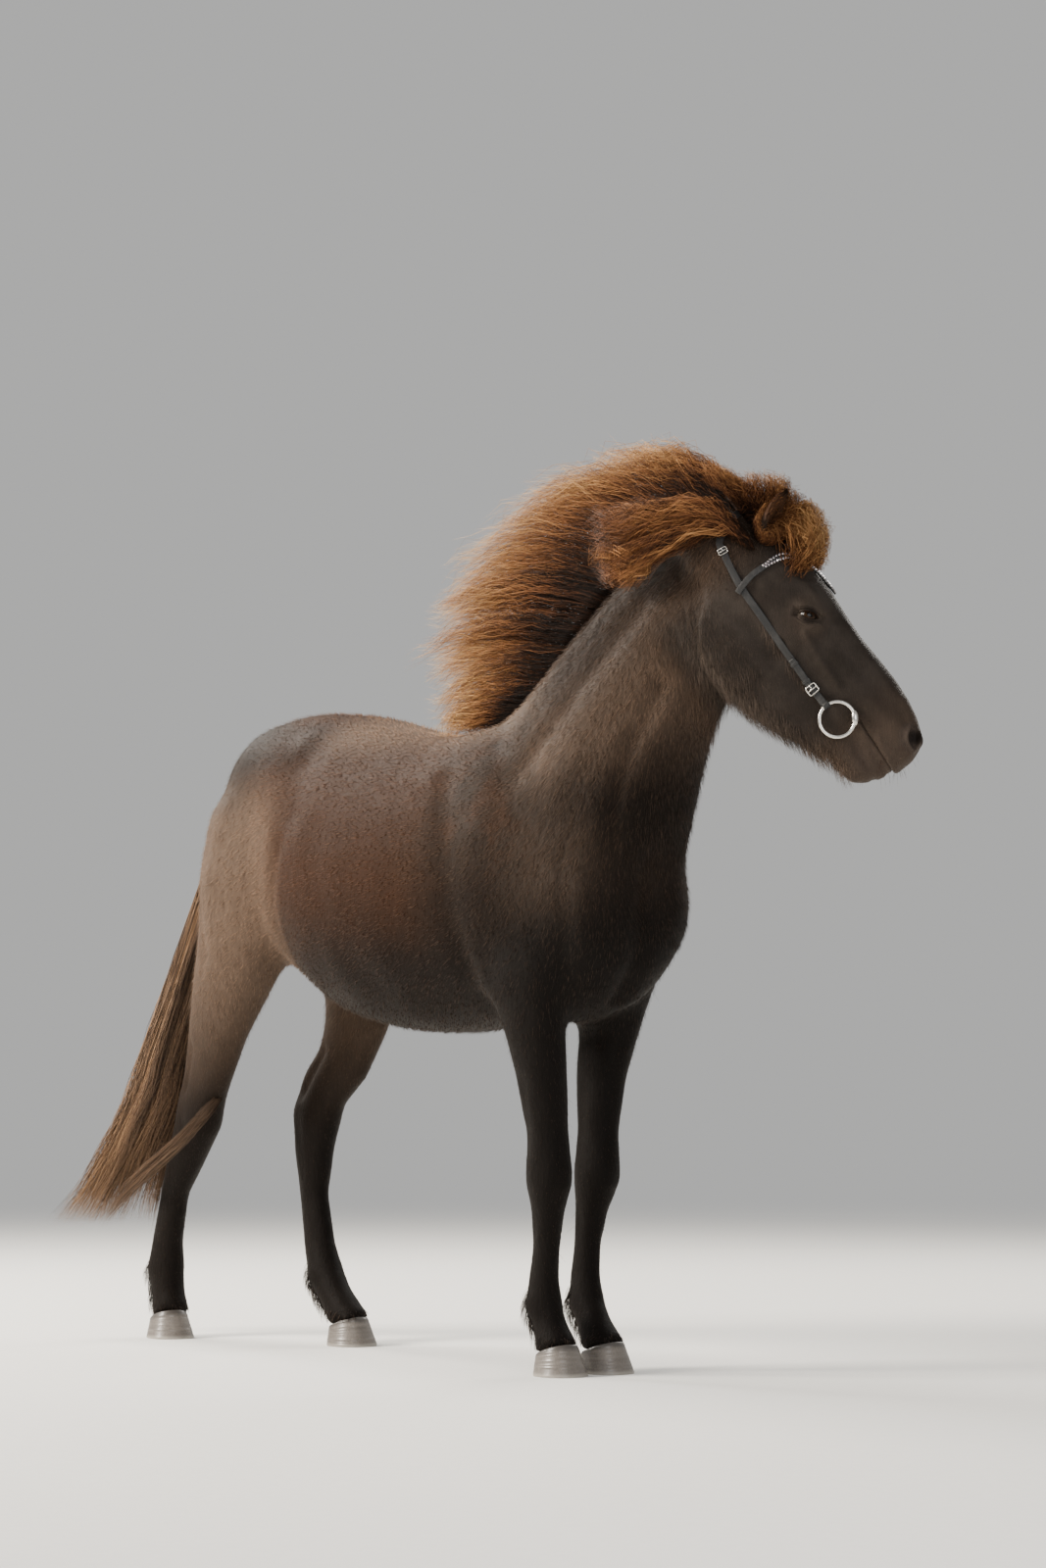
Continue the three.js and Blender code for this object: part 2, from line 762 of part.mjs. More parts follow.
function strap(stations, { width, thick, lift = 0, grow = 0 }) {
  const sections = strapLine(stations, lift + thick / 2).map(({ point, across }) => ({
    front: point.clone().addScaledVector(across, width / 2).toArray(),
    back: point.clone().addScaledVector(across, -width / 2).toArray(),
    half: thick / 2,
  }));
  return loft(sections, { sides: 4, square: true, grow });
}

const CHEEK = [
  // x and z aimed at, tilt, height over the skin
  [-24, -60, 90, 3],
  [-24, -60, 66, 3],
  [-22, -62, 42, 3],
  [-14, -66, 20, 3],
  [4, -80, 0, 2],
  [26, -86, 0, 1.6],
  [50, -92, 0, 1.2],
  [109, -102, 0, 1.2],
  [180, -106, 0, 1.2],
  [250, -110, 0, 1.2],
  [310, -113, 0, 1.5],
  [338, -115, 0, 2.4],
  [358, -115, 0, 4],
  [380, -114, 0, 9],
  [396, -114, 0, 14],
];

const BROW = [
  // the same for the browband, from beside the cheek strap to the middle of the forehead
  [112, -114, 0, 5],
  [106, -92, 0, 5],
  [102, -70, 0, 2],
  [102, -46, 0, 1.2],
  [106, -26, 18, 1.2],
  [118, -30, 38, 1.2],
  [140, -30, 56, 1.2],
  [170, -30, 70, 1.2],
  [200, -30, 80, 1.2],
  [224, -30, 90, 1.2],
];

// From one side over the middle to the other
const around = (half) => [
  ...half.map((station) => [station, 1]),
  ...half.slice(0, -1).reverse().map((station) => [station, -1]),
];

const STRAP = { width: 15, thick: 3 };
const BAND = { width: 13, thick: 3 };

// The end of each cheek strap is folded round its ring.
const loopShape = (way) => {
  const fold = new THREE.CylinderGeometry(8, 8, STRAP.width, 10, 1);
  fold.rotateX(Math.PI / 2);
  fold.translate(RING.centre[0] - RING.radius, way * RING.side, RING.centre[1]);
  return solidOf(fold, headMatrix);
};

const skinClear = fuse(headClear, neckClear);
const cheekStrap = strap(around([...CHEEK].reverse()), STRAP);
const headpiece = largest(cut(fuse(cheekStrap, BOTH.map(([, way]) => loopShape(way))), ringHoles, skinClear));
add("bridle_headpiece", headpiece, LEATHER);

const browStations = around(BROW);
const cheekClear = strap(around([...CHEEK].reverse()), { ...STRAP, grow: 0.4 });
const browband = largest(cut(strap(browStations, BAND), skinClear, cheekClear));
add("bridle_browband", browband, LEATHER);

// Clear cut stones along the middle of the browband, on a thin strip
const beadStations = around(BROW.slice(3));
const STRIP = { width: 11, thick: 1.6, lift: BAND.thick + 0.6 };
const STONE = { count: 16, along: 5.2, across: 4.8, out: 3.8, sunk: 1.1 };

function stones() {
  const touches = beadStations.map(([station, way]) => touch(station, way));
  const height = STRIP.lift + STRIP.thick + STONE.out - STONE.sunk;
  const line = new THREE.CatmullRomCurve3(
    touches.map(({ point, out, lift }) => point.clone().addScaledVector(out, lift + height)),
  );
  const outs = new THREE.CatmullRomCurve3(touches.map(({ out }) => out));
  const shapes = [];
  for (let i = 0; i < STONE.count; i++) {
    const t = line.getUtoTmapping((i + 0.5) / STONE.count);
    const along = line.getTangent(t);
    const across = new THREE.Vector3().crossVectors(along, outs.getPoint(t)).normalize();
    const out = new THREE.Vector3().crossVectors(across, along);
    const stone = new THREE.OctahedronGeometry(1, 0);
    stone.scale(STONE.along, STONE.across, STONE.out);
    stone.applyMatrix4(new THREE.Matrix4().makeBasis(along, across, out).setPosition(line.getPoint(t)));
    shapes.push(solidOf(stone));
  }
  return shapes;
}

const beadRow = fuse(strap(beadStations, STRIP), stones());
add("bridle_browband_beads", largest(cut(beadRow, strap(browStations, { ...BAND, grow: GAP }))), GLASS);

// Buckles: one frame with a middle bar, near the top and the bottom of each cheek strap

const BUCKLE = { length: 22, width: 25, wire: 3.4 };

function buckleShape() {
  const { length, width, wire } = BUCKLE;
  const block = (x, y, z) => solidOf(new THREE.BoxGeometry(x, y, z));
  const frame = cut(block(length, width, 2.6), block(length - 2 * wire, width - 2 * wire, 8));
  return fuse(frame, block(wire * 0.8, width - 1, 2.6));
}

const buckle = geometryOf(buckleShape());
const BUCKLE_STATIONS = { upper: 5, lower: CHEEK.length - 3 };
for (const [side, way] of BOTH) {
  const line = strapLine(
    CHEEK.map((station) => [station, way]),
    STRAP.thick + 2.7,
  );
  for (const [place, station] of Object.entries(BUCKLE_STATIONS)) {
    const { point, along, across, out } = line[station];
    const mesh = add(`bridle_buckle_${place}_${side}`, buckle, STEEL);
    mesh.position.copy(point);
    mesh.quaternion.setFromRotationMatrix(
      new THREE.Matrix4().makeBasis(along, across.clone().negate(), out),
    );
  }
}

// Mane: locks from the crest, blown back from the face

const MANE = [
  // root x, y, z; tip x, y, z; rise of the bend between them
  [-247, 0, 1396, -440, -10, 1388, 16],
  [-115, 3, 1470, -512, -15, 1440, 30],
  [5, 10, 1572, -548, -10, 1580, 40],
  [123, 24, 1672, -480, 0, 1690, 45],
  [243, 44, 1746, -340, 20, 1796, 46],
  [351, 66, 1788, -140, 45, 1890, 40],
  [440, 86, 1792, 100, 65, 1926, 34],
];

const maneRows = new THREE.CatmullRomCurve3(MANE.map((row) => new THREE.Vector3(row[0], row[1], row[2])));
const maneTips = new THREE.CatmullRomCurve3(MANE.map((row) => new THREE.Vector3(row[3], row[4], row[5])));
const maneRise = (t) => {
  const at = t * (MANE.length - 1);
  const i = Math.min(Math.floor(at), MANE.length - 2);
  return mix(MANE[i][6], MANE[i + 1][6], at - i);
};

// A point of the hair that roots at t along the crest, s of the way to its tip
function manePoint(t, s, reach = 1) {
  const from = maneRows.getPoint(t);
  const to = maneTips.getPoint(t);
  const point = from.clone().lerp(to, s * reach);
  point.z += maneRise(t) * Math.sin(Math.PI * Math.min(1, s * reach)) * 1.2;
  return point;
}

function maneCore() {
  const sections = [0, 0.12, 0.28, 0.44, 0.6, 0.76, 0.9, 1].map((t) => {
    const inside = maneRows.getPoint(t).lerp(maneTips.getPoint(t), -0.1);
    inside.z -= 14;
    return {
      front: manePoint(t, 0.5).toArray(),
      back: inside.toArray(),
      half: t === 0 ? 22 : t === 1 ? 34 : 50,
      wide: -0.3,
    };
  });
  return loft(sections, { sides: 12 });
}

function maneLocks() {
  const draw = seeded(11);
  const locks = [];
  const rows = 9;
  for (let i = 0; i < rows; i++) {
    for (const lane of [-1, 0, 1]) {
      const t = Math.min(1, Math.max(0.01, (i + 0.5 + draw(-0.3, 0.3)) / rows));
      const reach = lane === 0 ? draw(0.93, 1) : draw(0.78, 0.97);
      const sweep = lane * draw(26, 44);
      const wave = draw(-14, 14);
      const path = [0.12, 0.36, 0.6, 0.82, 1].map((s) => {
        const point = manePoint(t, s, reach);
        const side = Math.sin(Math.min(1, s * 1.3) * 1.5);
        point.y += sweep * side + draw(-6, 6);
        point.z += wave * Math.sin(s * 7) * s - Math.abs(lane) * 26 * side;
        return point.toArray();
      });
      locks.push(lock(path, { width: draw(84, 102), thick: 28, side: [0.25, lane * 0.5 + 0.1, 1] }));
    }
  }
  return locks;
}

// Locks that hang on the near side behind the ear, blown back along the neck
function sideLocks() {
  const draw = seeded(5);
  const locks = [];
  for (let i = 0; i < 4; i++) {
    const lift = i * 18;
    const path = [
      [410, 30 - i * 4, 1790 - i * 3],
      [385, -50, 1735 + lift],
      [300, -84, 1690 + lift],
      [200, -96, 1672 + lift],
      [95, -92, 1694 + lift],
      [20, -74, 1738 + lift],
    ].map(([x, y, z], k) => [x - i * 18, y - i * 3 + draw(-4, 4), z + draw(-5, 5) * (k > 0)]);
    locks.push(lock(path, { width: 40, thick: 16, side: [0.2, -0.2, 1] }));
  }
  return locks;
}

// Short locks that stand up between the ears
function pollLocks() {
  const locks = [];
  for (const y of [-20, 20]) {
    locks.push(
      lock(
        [
          [4, y, -6],
          [-38, y * 1.2, 32],
          [-78, y * 1.3, 46],
          [-114, y * 1.3, 38],
        ],
        { width: 48, thick: 26, side: [0.4, 1, 0], frame: headMatrix },
      ),
      lock(
        [
          [14, y, 4],
          [-18, y * 1.3, 46],
          [-48, y * 1.5, 76],
          [-74, y * 1.4, 82],
        ],
        { width: 44, thick: 24, side: [0.4, 1, 0], frame: headMatrix },
      ),
      lock(
        [
          [24, y, 8],
          [4, y * 1.2, 60],
          [-12, y * 1.4, 94],
          [-38, y * 1.5, 110],
        ],
        { width: 44, thick: 24, side: [0.4, 1, 0], frame: headMatrix },
      ),
    );
  }
  return locks;
}

// Forelock: curls that rise from the poll and tumble over the forehead

function forelockSolid() {
  const draw = seeded(23);
  const core = bulge([64, 0, 44], [62, 46, 38], { frame: headMatrix });
  const locks = [];
  const count = 7;
  for (let i = 0; i < count; i++) {
    const lane = mix(-1, 1, (i + 0.5) / count);
    const y = lane * 46;
    const drop = draw(0, 26);
    const tall = draw(-8, 4);
    const path = [
      [draw(14, 34), y * 0.6, 24],
      [draw(26, 40), y * 0.9, 98 + tall],
      [104, y * 1.25, 108 + tall - 22 * lane * lane],
      [156, y * 1.5, 66 - 36 * lane * lane],
      [180 - drop * 0.3, y * 1.6, 22 - drop - 40 * lane * lane],
    ].map(([a, b, c]) => [a + draw(-5, 5), b + draw(-5, 5), c + draw(-4, 4)]);
    locks.push(lock(path, { width: 44, thick: 20, side: [0, 1, 0.2 * lane], frame: headMatrix }));
  }
  return fuse(core, locks);
}

// Tail: a bony dock and locks that stream back and to the right

const TAIL = [
  // x, y, z, half width across the view, half depth
  [-1120, 0, 1302, 30, 26],
  [-1206, -12, 1286, 38, 32],
  [-1278, -30, 1196, 40, 36],
  [-1318, -50, 1064, 47, 40],
  [-1358, -80, 890, 56, 46],
  [-1428, -108, 670, 68, 50],
  [-1466, -125, 555, 74, 50],
  [-1535, -140, 430, 84, 48],
  [-1660, -154, 262, 122, 52],
];

const tailLine = new THREE.CatmullRomCurve3(TAIL.map((row) => new THREE.Vector3(row[0], row[1], row[2])));
const tailSize = (t, k) => {
  const at = t * (TAIL.length - 1);
  const i = Math.min(Math.floor(at), TAIL.length - 2);
  return mix(TAIL[i][k], TAIL[i + 1][k], at - i);
};
const ACROSS = new THREE.Vector3(0.62, 0.78, 0);
const DEPTH = new THREE.Vector3(-0.78, 0.62, 0);

function tailPoint(t, a, b) {
  return tailLine
    .getPoint(t)
    .addScaledVector(ACROSS, a * tailSize(t, 3))
    .addScaledVector(DEPTH, b * tailSize(t, 4));
}

// Locks that leave the stream: one round the inside and front of the right hock, two straight down beside it
const STRAYS = {
  round: [
    [-1345, -84, 880],
    [-1290, -36, 750],
    [-1232, -30, 655],
    [-1180, -82, 590],
    [-1200, -160, 532],
    [-1270, -190, 470],
    [-1400, -192, 402],
    [-1530, -182, 332],
    [-1640, -172, 262],
  ],
  near: [
    [-1350, -70, 880],
    [-1392, -74, 690],
    [-1432, -80, 520],
    [-1486, -92, 380],
    [-1520, -104, 262],
  ],
  far: [
    [-1352, -50, 860],
    [-1380, -36, 680],
    [-1420, -30, 520],
    [-1470, -40, 380],
    [-1490, -60, 240],
  ],
};

function tailSolid() {
  const draw = seeded(37);
  const rows = TAIL.slice(0, 5);
  const core = loft(
    rows.map(([x, y, z, wide, deep], i) => {
      const size = i === 4 ? 0.35 : 0.8;
      const centre = new THREE.Vector3(x, y, z);
      return {
        front: centre.clone().addScaledVector(ACROSS, wide * size).toArray(),
        back: centre.clone().addScaledVector(ACROSS, -wide * size).toArray(),
        half: deep * size,
      };
    }),
    { sides: 12 },
  );
  const locks = [];
  const count = 16;
  for (let i = 0; i < count; i++) {
    const turn = i * 2.4;
    const spread = Math.sqrt((i + 0.5) / count);
    const a = Math.cos(turn) * spread * 0.88;
    const b = Math.sin(turn) * spread * 0.85;
    const start = draw(0.14, 0.3);
    const end = draw(0.88, 1) + (a < -0.4 ? 0.02 : 0);
    const path = [0, 0.2, 0.46, 0.74, 1].map((s) => {
      const fan = mix(0.5, 1, Math.min(1, s * 2));
      return tailPoint(Math.min(1, mix(start, end, s)), a * fan, b * fan).toArray();
    });
    locks.push(lock(path, { width: draw(48, 60), thick: 23, side: ACROSS.toArray() }));
  }
  for (const path of Object.values(STRAYS)) {
    locks.push(lock(path, { width: 38, thick: 14, side: [0.6, 0.4, 0.5] }));
  }
  return fuse(core, locks);
}

const strapClear = [
  cheekClear,
  strap(browStations, { ...BAND, grow: 0.4 }),
  strap(beadStations, { width: STRIP.width, thick: 8, lift: STRIP.lift, grow: 0.6 }),
];
const bodyClear = fuse(torsoClear, neckClear, headClear);

const earsClear = BOTH.map(([, way]) => earLoft(way, { grow: GAP }));

// The mane ends and the forelock begins on one plane across the poll.
const HAIR_PARTING = 18;
const parting = (x, way) => halfSpace(headPoint(x, 0, 0).toArray(), headDirection(way, 0, 0).toArray());
const beforeParting = parting(HAIR_PARTING + GAP, -1);
const behindParting = parting(HAIR_PARTING, 1);
const maneWhole = fuse(maneCore(), maneLocks(), sideLocks(), pollLocks());
const mane = cut(maneWhole, bodyClear, strapClear, earsClear, behindParting);
add("mane", largest(mane), HAIR);
const forelock = cut(forelockSolid(), bodyClear, strapClear, earsClear, beforeParting);
add("forelock", largest(forelock), HAIR);
const legsClear = BOTH.map(([side]) => hindLeg(side, GAP));
add("tail", largest(cut(tailSolid(), bodyClear, legsClear)), HAIR);

const box = new THREE.Box3().setFromObject(root);
root.position.set(-(box.min.x + box.max.x) / 2, -(box.min.y + box.max.y) / 2, -box.min.z);

export default root;
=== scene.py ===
# %% [markdown]
# # A show horse of a northern breed, as a museum would model it
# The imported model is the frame: solids of the flesh, hooves, eyes, bridle and hair, in metres, with the soles on
# z = 0. This lesson dresses them. One smooth skin replaces the flesh, mesh hair replaces the locks, and straps,
# steel and stones are made again with their real edges. Nothing here moves or resizes the frame.

import json
import math

import bmesh
import bpy
import numpy as np
from mathutils import Matrix, Vector
from mathutils.bvhtree import BVHTree

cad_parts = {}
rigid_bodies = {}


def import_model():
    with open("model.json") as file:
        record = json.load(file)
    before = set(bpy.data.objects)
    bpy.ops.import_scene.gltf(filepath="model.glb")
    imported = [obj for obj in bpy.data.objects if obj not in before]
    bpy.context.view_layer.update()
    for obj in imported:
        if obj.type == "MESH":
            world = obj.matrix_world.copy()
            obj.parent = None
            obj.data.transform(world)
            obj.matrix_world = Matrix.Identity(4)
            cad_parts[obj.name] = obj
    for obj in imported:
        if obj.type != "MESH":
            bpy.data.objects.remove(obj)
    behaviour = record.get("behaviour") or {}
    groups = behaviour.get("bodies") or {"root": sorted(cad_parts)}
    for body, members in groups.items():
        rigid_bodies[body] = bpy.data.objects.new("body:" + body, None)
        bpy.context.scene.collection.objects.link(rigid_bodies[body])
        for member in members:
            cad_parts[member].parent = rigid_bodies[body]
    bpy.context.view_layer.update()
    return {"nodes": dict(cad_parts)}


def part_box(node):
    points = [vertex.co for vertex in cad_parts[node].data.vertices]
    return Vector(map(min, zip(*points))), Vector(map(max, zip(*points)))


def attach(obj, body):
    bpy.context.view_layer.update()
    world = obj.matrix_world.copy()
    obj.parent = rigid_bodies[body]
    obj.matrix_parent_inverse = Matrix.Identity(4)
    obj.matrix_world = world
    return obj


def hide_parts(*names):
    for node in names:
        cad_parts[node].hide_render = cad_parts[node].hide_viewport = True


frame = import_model()
nodes = frame["nodes"]
scene = bpy.context.scene
MM = 0.001
SIDES = (("left", 1), ("right", -1))

# %% [markdown]
# Two frames help. `spot` takes a place in millimetres in the horse's own frame, whose origin lies on the floor
# between the front hooves. `on_head` does the same in the head's frame: x along the face to the nose, y to the
# left, z out of the forehead. The eye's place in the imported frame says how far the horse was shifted.

# %% The horse's and the head's frames
POLL = Vector((449, 85, 1768))
HEAD_YAW = 44.5  # degrees that the head looks to the left
HEAD_DROP = 52.4  # degrees that the face slopes down
EYE = Vector((236, 70, -32))

head_turn = Matrix.Rotation(math.radians(HEAD_YAW), 4, "Z") @ Matrix.Rotation(math.radians(HEAD_DROP), 4, "Y")
head_in_horse = Matrix.Translation(POLL) @ head_turn
eye_low, eye_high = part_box("eye_left")
ORIGIN = (eye_low + eye_high) / 2 - head_in_horse @ EYE * MM
HEAD = Matrix.Translation(ORIGIN) @ Matrix.Scale(MM, 4) @ head_in_horse
HEAD_BACK = HEAD.inverted()


def spot(x, y, z):
    return ORIGIN + Vector((x, y, z)) * MM


def on_head(x, y, z):
    return HEAD @ Vector((x, y, z))


def head_way(x, y, z):
    return (head_turn.to_3x3() @ Vector((x, y, z))).normalized()


def to_head(points):
    """Places in metres as an array of head coordinates in millimetres."""
    matrix = np.array(HEAD_BACK)
    return points @ matrix[:3, :3].T + matrix[:3, 3]


def from_head(places):
    """Head coordinates in millimetres as an array of places in metres."""
    matrix = np.array(HEAD)
    return places @ matrix[:3, :3].T + matrix[:3, 3]


def to_horse(points):
    """Places in metres as an array of the horse's own millimetres."""
    return (points - np.array(ORIGIN)) / MM


def from_horse(places):
    """The horse's own millimetres as an array of places in metres."""
    return np.array(ORIGIN) + places * MM


print("origin of the horse's frame", [round(v, 4) for v in ORIGIN])

# %% [markdown]
# The camera stands where the photo was taken from: eight and a half metres off the horse's right front, below its
# chest, looking a little up with a long lens. Its place and turn were solved from the hooves on the level path.

# %% Camera
PHOTO_SIZE = (1067, 1600)
FOCAL_PIXELS = 4141
SENSOR = 36  # mm along the photo's long side
CAMERA_PLACE = (6699, -5395, 700)
CAMERA_TURN = 52  # degrees that the view turns left of +Y
CAMERA_TILT = 3.62  # degrees above level

camera = bpy.data.objects.new("camera", bpy.data.cameras.new("camera"))
scene.collection.objects.link(camera)
camera.data.sensor_width = SENSOR
camera.data.lens = FOCAL_PIXELS * SENSOR / max(PHOTO_SIZE)
camera.location = spot(*CAMERA_PLACE)
camera.rotation_euler = (math.radians(90 + CAMERA_TILT), 0, math.radians(CAMERA_TURN))
scene.camera = camera

# %% [markdown]
# A wide pale floor fades into an even backdrop of its own colour, so there is no horizon. The light is soft, as
# under the trees in the afternoon: a broad lamp high behind the croup edges the mane and pales the rump, a large
# key from behind the right flank models the body, and a weak fill opens the shadows.


# %% Studio
def lamp(name, place, target, size, power, colour=(1, 1, 1)):
    light = bpy.data.lights.new(name, "AREA")
    light.shape = "RECTANGLE"
    light.size, light.size_y = size
    light.energy = power
    light.color = colour
    holder = bpy.data.objects.new(name, light)
    holder.location = place
    holder.rotation_euler = (Vector(target) - Vector(place)).to_track_quat("-Z", "Y").to_euler()
    scene.collection.objects.link(holder)


FLOOR = 40  # metres across
floor_mesh = bmesh.new()
bmesh.ops.create_grid(floor_mesh, x_segments=1, y_segments=1, size=FLOOR / 2)
floor = bpy.data.objects.new("floor", bpy.data.meshes.new("floor"))
floor_mesh.to_mesh(floor.data)
floor_mesh.free()
scene.collection.objects.link(floor)

lamp("key", (-2.6, -5.4, 4.4), (-0.1, 0, 1.2), (2.6, 2.6), 1150, (1, 0.92, 0.82))
lamp("fill", (6.2, -2.6, 2.4), (0.3, 0, 1.0), (3.5, 3.0), 150, (0.96, 0.97, 1))
lamp("back", (-4.8, -0.6, 4.4), (-0.2, 0, 1.3), (2.8, 2.2), 620, (1, 0.94, 0.85))
lamp("edge", (-1.6, 4.8, 3.8), (0.2, 0, 1.5), (2.4, 2.0), 170, (1, 0.96, 0.9))

world = bpy.data.worlds.new("studio")
scene.world = world
world.use_nodes = True
world.node_tree.nodes["Background"].inputs["Color"].default_value = (0.9, 0.9, 0.89, 1)
world.node_tree.nodes["Background"].inputs["Strength"].default_value = 0.56

# %% [markdown]
# Finishes are worked out from the place on the horse, so skin and coat carry the same markings. `Wire` wraps a
# shader socket: an expression such as `1 - mask * 0.5` adds its Math nodes. `Finish` owns one material.


# %% Values in a material
def sum_of(operation, swapped=False):
    """A method that works out one sum with a Math node."""

    def work(self, other):
        values = (other, self) if swapped else (self, other)
        return self.finish.node("ShaderNodeMath", {"operation": operation}, *values)

    return work


class Wire:
    """A value inside a material, with Python's arithmetic."""

    def __init__(self, finish, socket):
        self.finish = finish
        self.socket = socket

    __add__ = __radd__ = sum_of("ADD")
    __mul__ = __rmul__ = sum_of("MULTIPLY")
    __sub__, __rsub__ = sum_of("SUBTRACT"), sum_of("SUBTRACT", swapped=True)
    __truediv__, __pow__ = sum_of("DIVIDE"), sum_of("POWER")

    def __abs__(self):
        return self.finish.node("ShaderNodeMath", {"operation": "ABSOLUTE"}, self)

    def ramp(self, low, high):
        """0 below low, 1 above high, smooth between; low may be the higher of the two."""
        if low > high:
            return 1 - self.ramp(high, low)
        settings = {"interpolation_type": "SMOOTHSTEP"}
        return self.finish.node("ShaderNodeMapRange", settings, self, low, high, 0, 1)


# %% One material
class Finish:
    """One material: its nodes, its Principled shader and the place on the horse."""

    def __init__(self, name, roughness=0.5, **sockets):
        self.material = bpy.data.materials.new(name)
        self.material.use_nodes = True
        self.tree = self.material.node_tree
        self.shader = self.tree.nodes["Principled BSDF"]
        self.set("Roughness", roughness)
        for socket, value in sockets.items():
            self.set(socket.replace("_", " "), value)

    def feed(self, target, value):
        """Links a wire to a node's socket, or sets a number, a colour or a vector on it."""
        if isinstance(value, Wire):
            self.tree.links.new(value.socket, target)
        elif isinstance(value, tuple) and target.type == "RGBA":
            target.default_value = (*value, 1)
        else:
            target.default_value = value

    def set(self, socket, value):
        self.feed(self.shader.inputs[socket], value)

    def node(self, kind, settings=None, *values, out=0, **named):
        made = self.tree.nodes.new(kind)
        for key, value in (settings or {}).items():
            setattr(made, key, value)
        for key, value in [*enumerate(values), *((k.replace("_", " "), v) for k, v in named.items())]:
            self.feed(made.inputs[key], value)
        return Wire(self, made.outputs[out])

    def vector(self, operation, *values, out="Vector"):
        return self.node("ShaderNodeVectorMath", {"operation": operation}, *values, out=out)

    def place(self):
        return self.node("ShaderNodeTexCoord", out="Object")

    def axes(self, vector):
        split = self.node("ShaderNodeSeparateXYZ", None, vector)
        return [Wire(self, output) for output in split.socket.node.outputs]

    def moved(self, vector, location=(0, 0, 0), turn=(0, 0, 0), scale=(1, 1, 1)):
        return self.node(
            "ShaderNodeMapping", {"vector_type": "POINT"}, vector, Location=location, Rotation=turn, Scale=scale
        )

    def noise(self, vector, scale, detail=2.0, roughness=0.5):
        return self.node("ShaderNodeTexNoise", Vector=vector, Scale=scale, Detail=detail, Roughness=roughness)

    def mix(self, factor, first, second, blend="MIX"):
        made = self.tree.nodes.new("ShaderNodeMix")
        made.data_type = "RGBA"
        made.blend_type = blend
        for key, value in (("Factor", factor), ("A", first), ("B", second)):
            self.feed(next(s for s in made.inputs if s.name == key and s.enabled), value)
        return Wire(self, next(s for s in made.outputs if s.enabled))

    def layers(self, colour, *laid):
        """Colours laid over a first one in turn, each as far as its mask says."""
        for mask, laid_colour in laid:
            colour = self.mix(mask, colour, laid_colour)
        return colour

    def stops(self, factor, *stops):
        """A colour ramp through (position, colour) stops."""
        made = self.node("ShaderNodeValToRGB", None, factor)
        ramp = made.socket.node.color_ramp
        while len(ramp.elements) < len(stops):
            ramp.elements.new(0.5)
        for element, (position, colour) in zip(ramp.elements, stops):
            element.position = position
            element.color = (*colour, 1)
        return made

    def bump(self, height, strength, distance):
        return self.node("ShaderNodeBump", Strength=strength, Distance=distance, Height=height)

    def attribute(self, name):
        return self.node("ShaderNodeAttribute", {"attribute_name": name}, out="Fac")


def wear(pieces, finish):
    """Gives pieces their finish and their slot; every piece of the horse rides the one body."""
    for piece in pieces:
        piece.data.materials.append(finish.material)
        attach(piece, "root")


# %% Floor
pale_floor = Finish("studio_floor", 0.9)
place = pale_floor.place()
far = pale_floor.vector("LENGTH", place, out="Value")
speckle = pale_floor.noise(place, 34, 4, 0.6)
pale_floor.set("Base Color", pale_floor.mix(speckle, (0.74, 0.73, 0.7), (0.8, 0.79, 0.76)))
pale_floor.set("Alpha", far.ramp(9.5, 3.2))
pale_floor.set("Normal", pale_floor.bump(speckle, 0.15, 0.002))
floor.data.materials.append(pale_floor.material)
print("floor finish has", len(pale_floor.tree.nodes), "nodes")

# %% [markdown]
# ## The skin
# The solids of the flesh are flat-faced. Two voxel remeshes turn them into even quads: a coarse one for the trunk
# and legs and a fine one for the head and the top of the neck. Smoothing rounds the facets away, harder on the
# broad trunk than on the thin legs. One plane cuts both, and a bridge joins them into a single skin.


# %% Mesh helpers
def mesh_object(name, bm):
    made = bpy.data.objects.new(name, bpy.data.meshes.new(name))
    bm.to_mesh(made.data)
    bm.free()
    scene.collection.objects.link(made)
    return made


def smooth_piece(name, bm):
    piece = mesh_object(name, bm)
    for face in piece.data.polygons:
        face.use_smooth = True
    return piece


def applied(piece):
    """The piece with its modifiers applied, as a bmesh; the piece itself is removed."""
    bm = bmesh.new()
    bm.from_object(piece, bpy.context.evaluated_depsgraph_get())
    bpy.data.objects.remove(piece)
    return bm


def ease(low, high, values):
    """0 at low, 1 at high, smooth between; low may be the higher of the two."""
    t = np.clip((values - low) / (high - low), 0, 1)
    return t * t * (3 - 2 * t)


def points_of(bm):
    return np.array([v.co for v in bm.verts])


def put_points(bm, points):
    for vertex, point in zip(bm.verts, points):
        vertex.co = point
    bm.normal_update()


def relaxed(bm, rounds, weights=None):
    """Smooths a bmesh for so many rounds, then gives back what was lost of its broad forms."""
    ends = np.array([[vertex.index for vertex in edge.verts] for edge in bm.edges])
    count = len(bm.verts)
    near = np.bincount(ends.ravel(), minlength=count)[:, None]
    share = 0.5 * (np.ones(count) if weights is None else weights)[:, None]

    def relax(values):
        for _ in range(rounds):
            sums = np.column_stack([
                np.bincount(ends[:, 0], values[ends[:, 1], axis], count)
                + np.bincount(ends[:, 1], values[ends[:, 0], axis], count)
                for axis in range(3)
            ])
            values = values + share * (sums / near - values)
        return values

    bm.verts.index_update()
    points = points_of(bm)
    smooth = relax(points)
    put_points(bm, smooth + relax(points - smooth))


def remeshed(names, voxel, swell):
    """Copies of the named solids, swollen until the gaps between them close, as one shell of even quads."""
    bm = bmesh.new()
    for name in names:
        bm.from_mesh(nodes[name].data)
    bmesh.ops.remove_doubles(bm, verts=bm.verts, dist=1e-5)
    tuck_in_feathers(bm)
    bm.normal_update()
    for vertex in bm.verts:
        vertex.co += vertex.normal * swell
    piece = mesh_object("solids", bm)
    modifier = piece.modifiers.new("voxels", "REMESH")
    modifier.mode = "VOXEL"
    modifier.voxel_size = voxel
    bm = applied(piece)
    keep_largest(bm)
    return bm


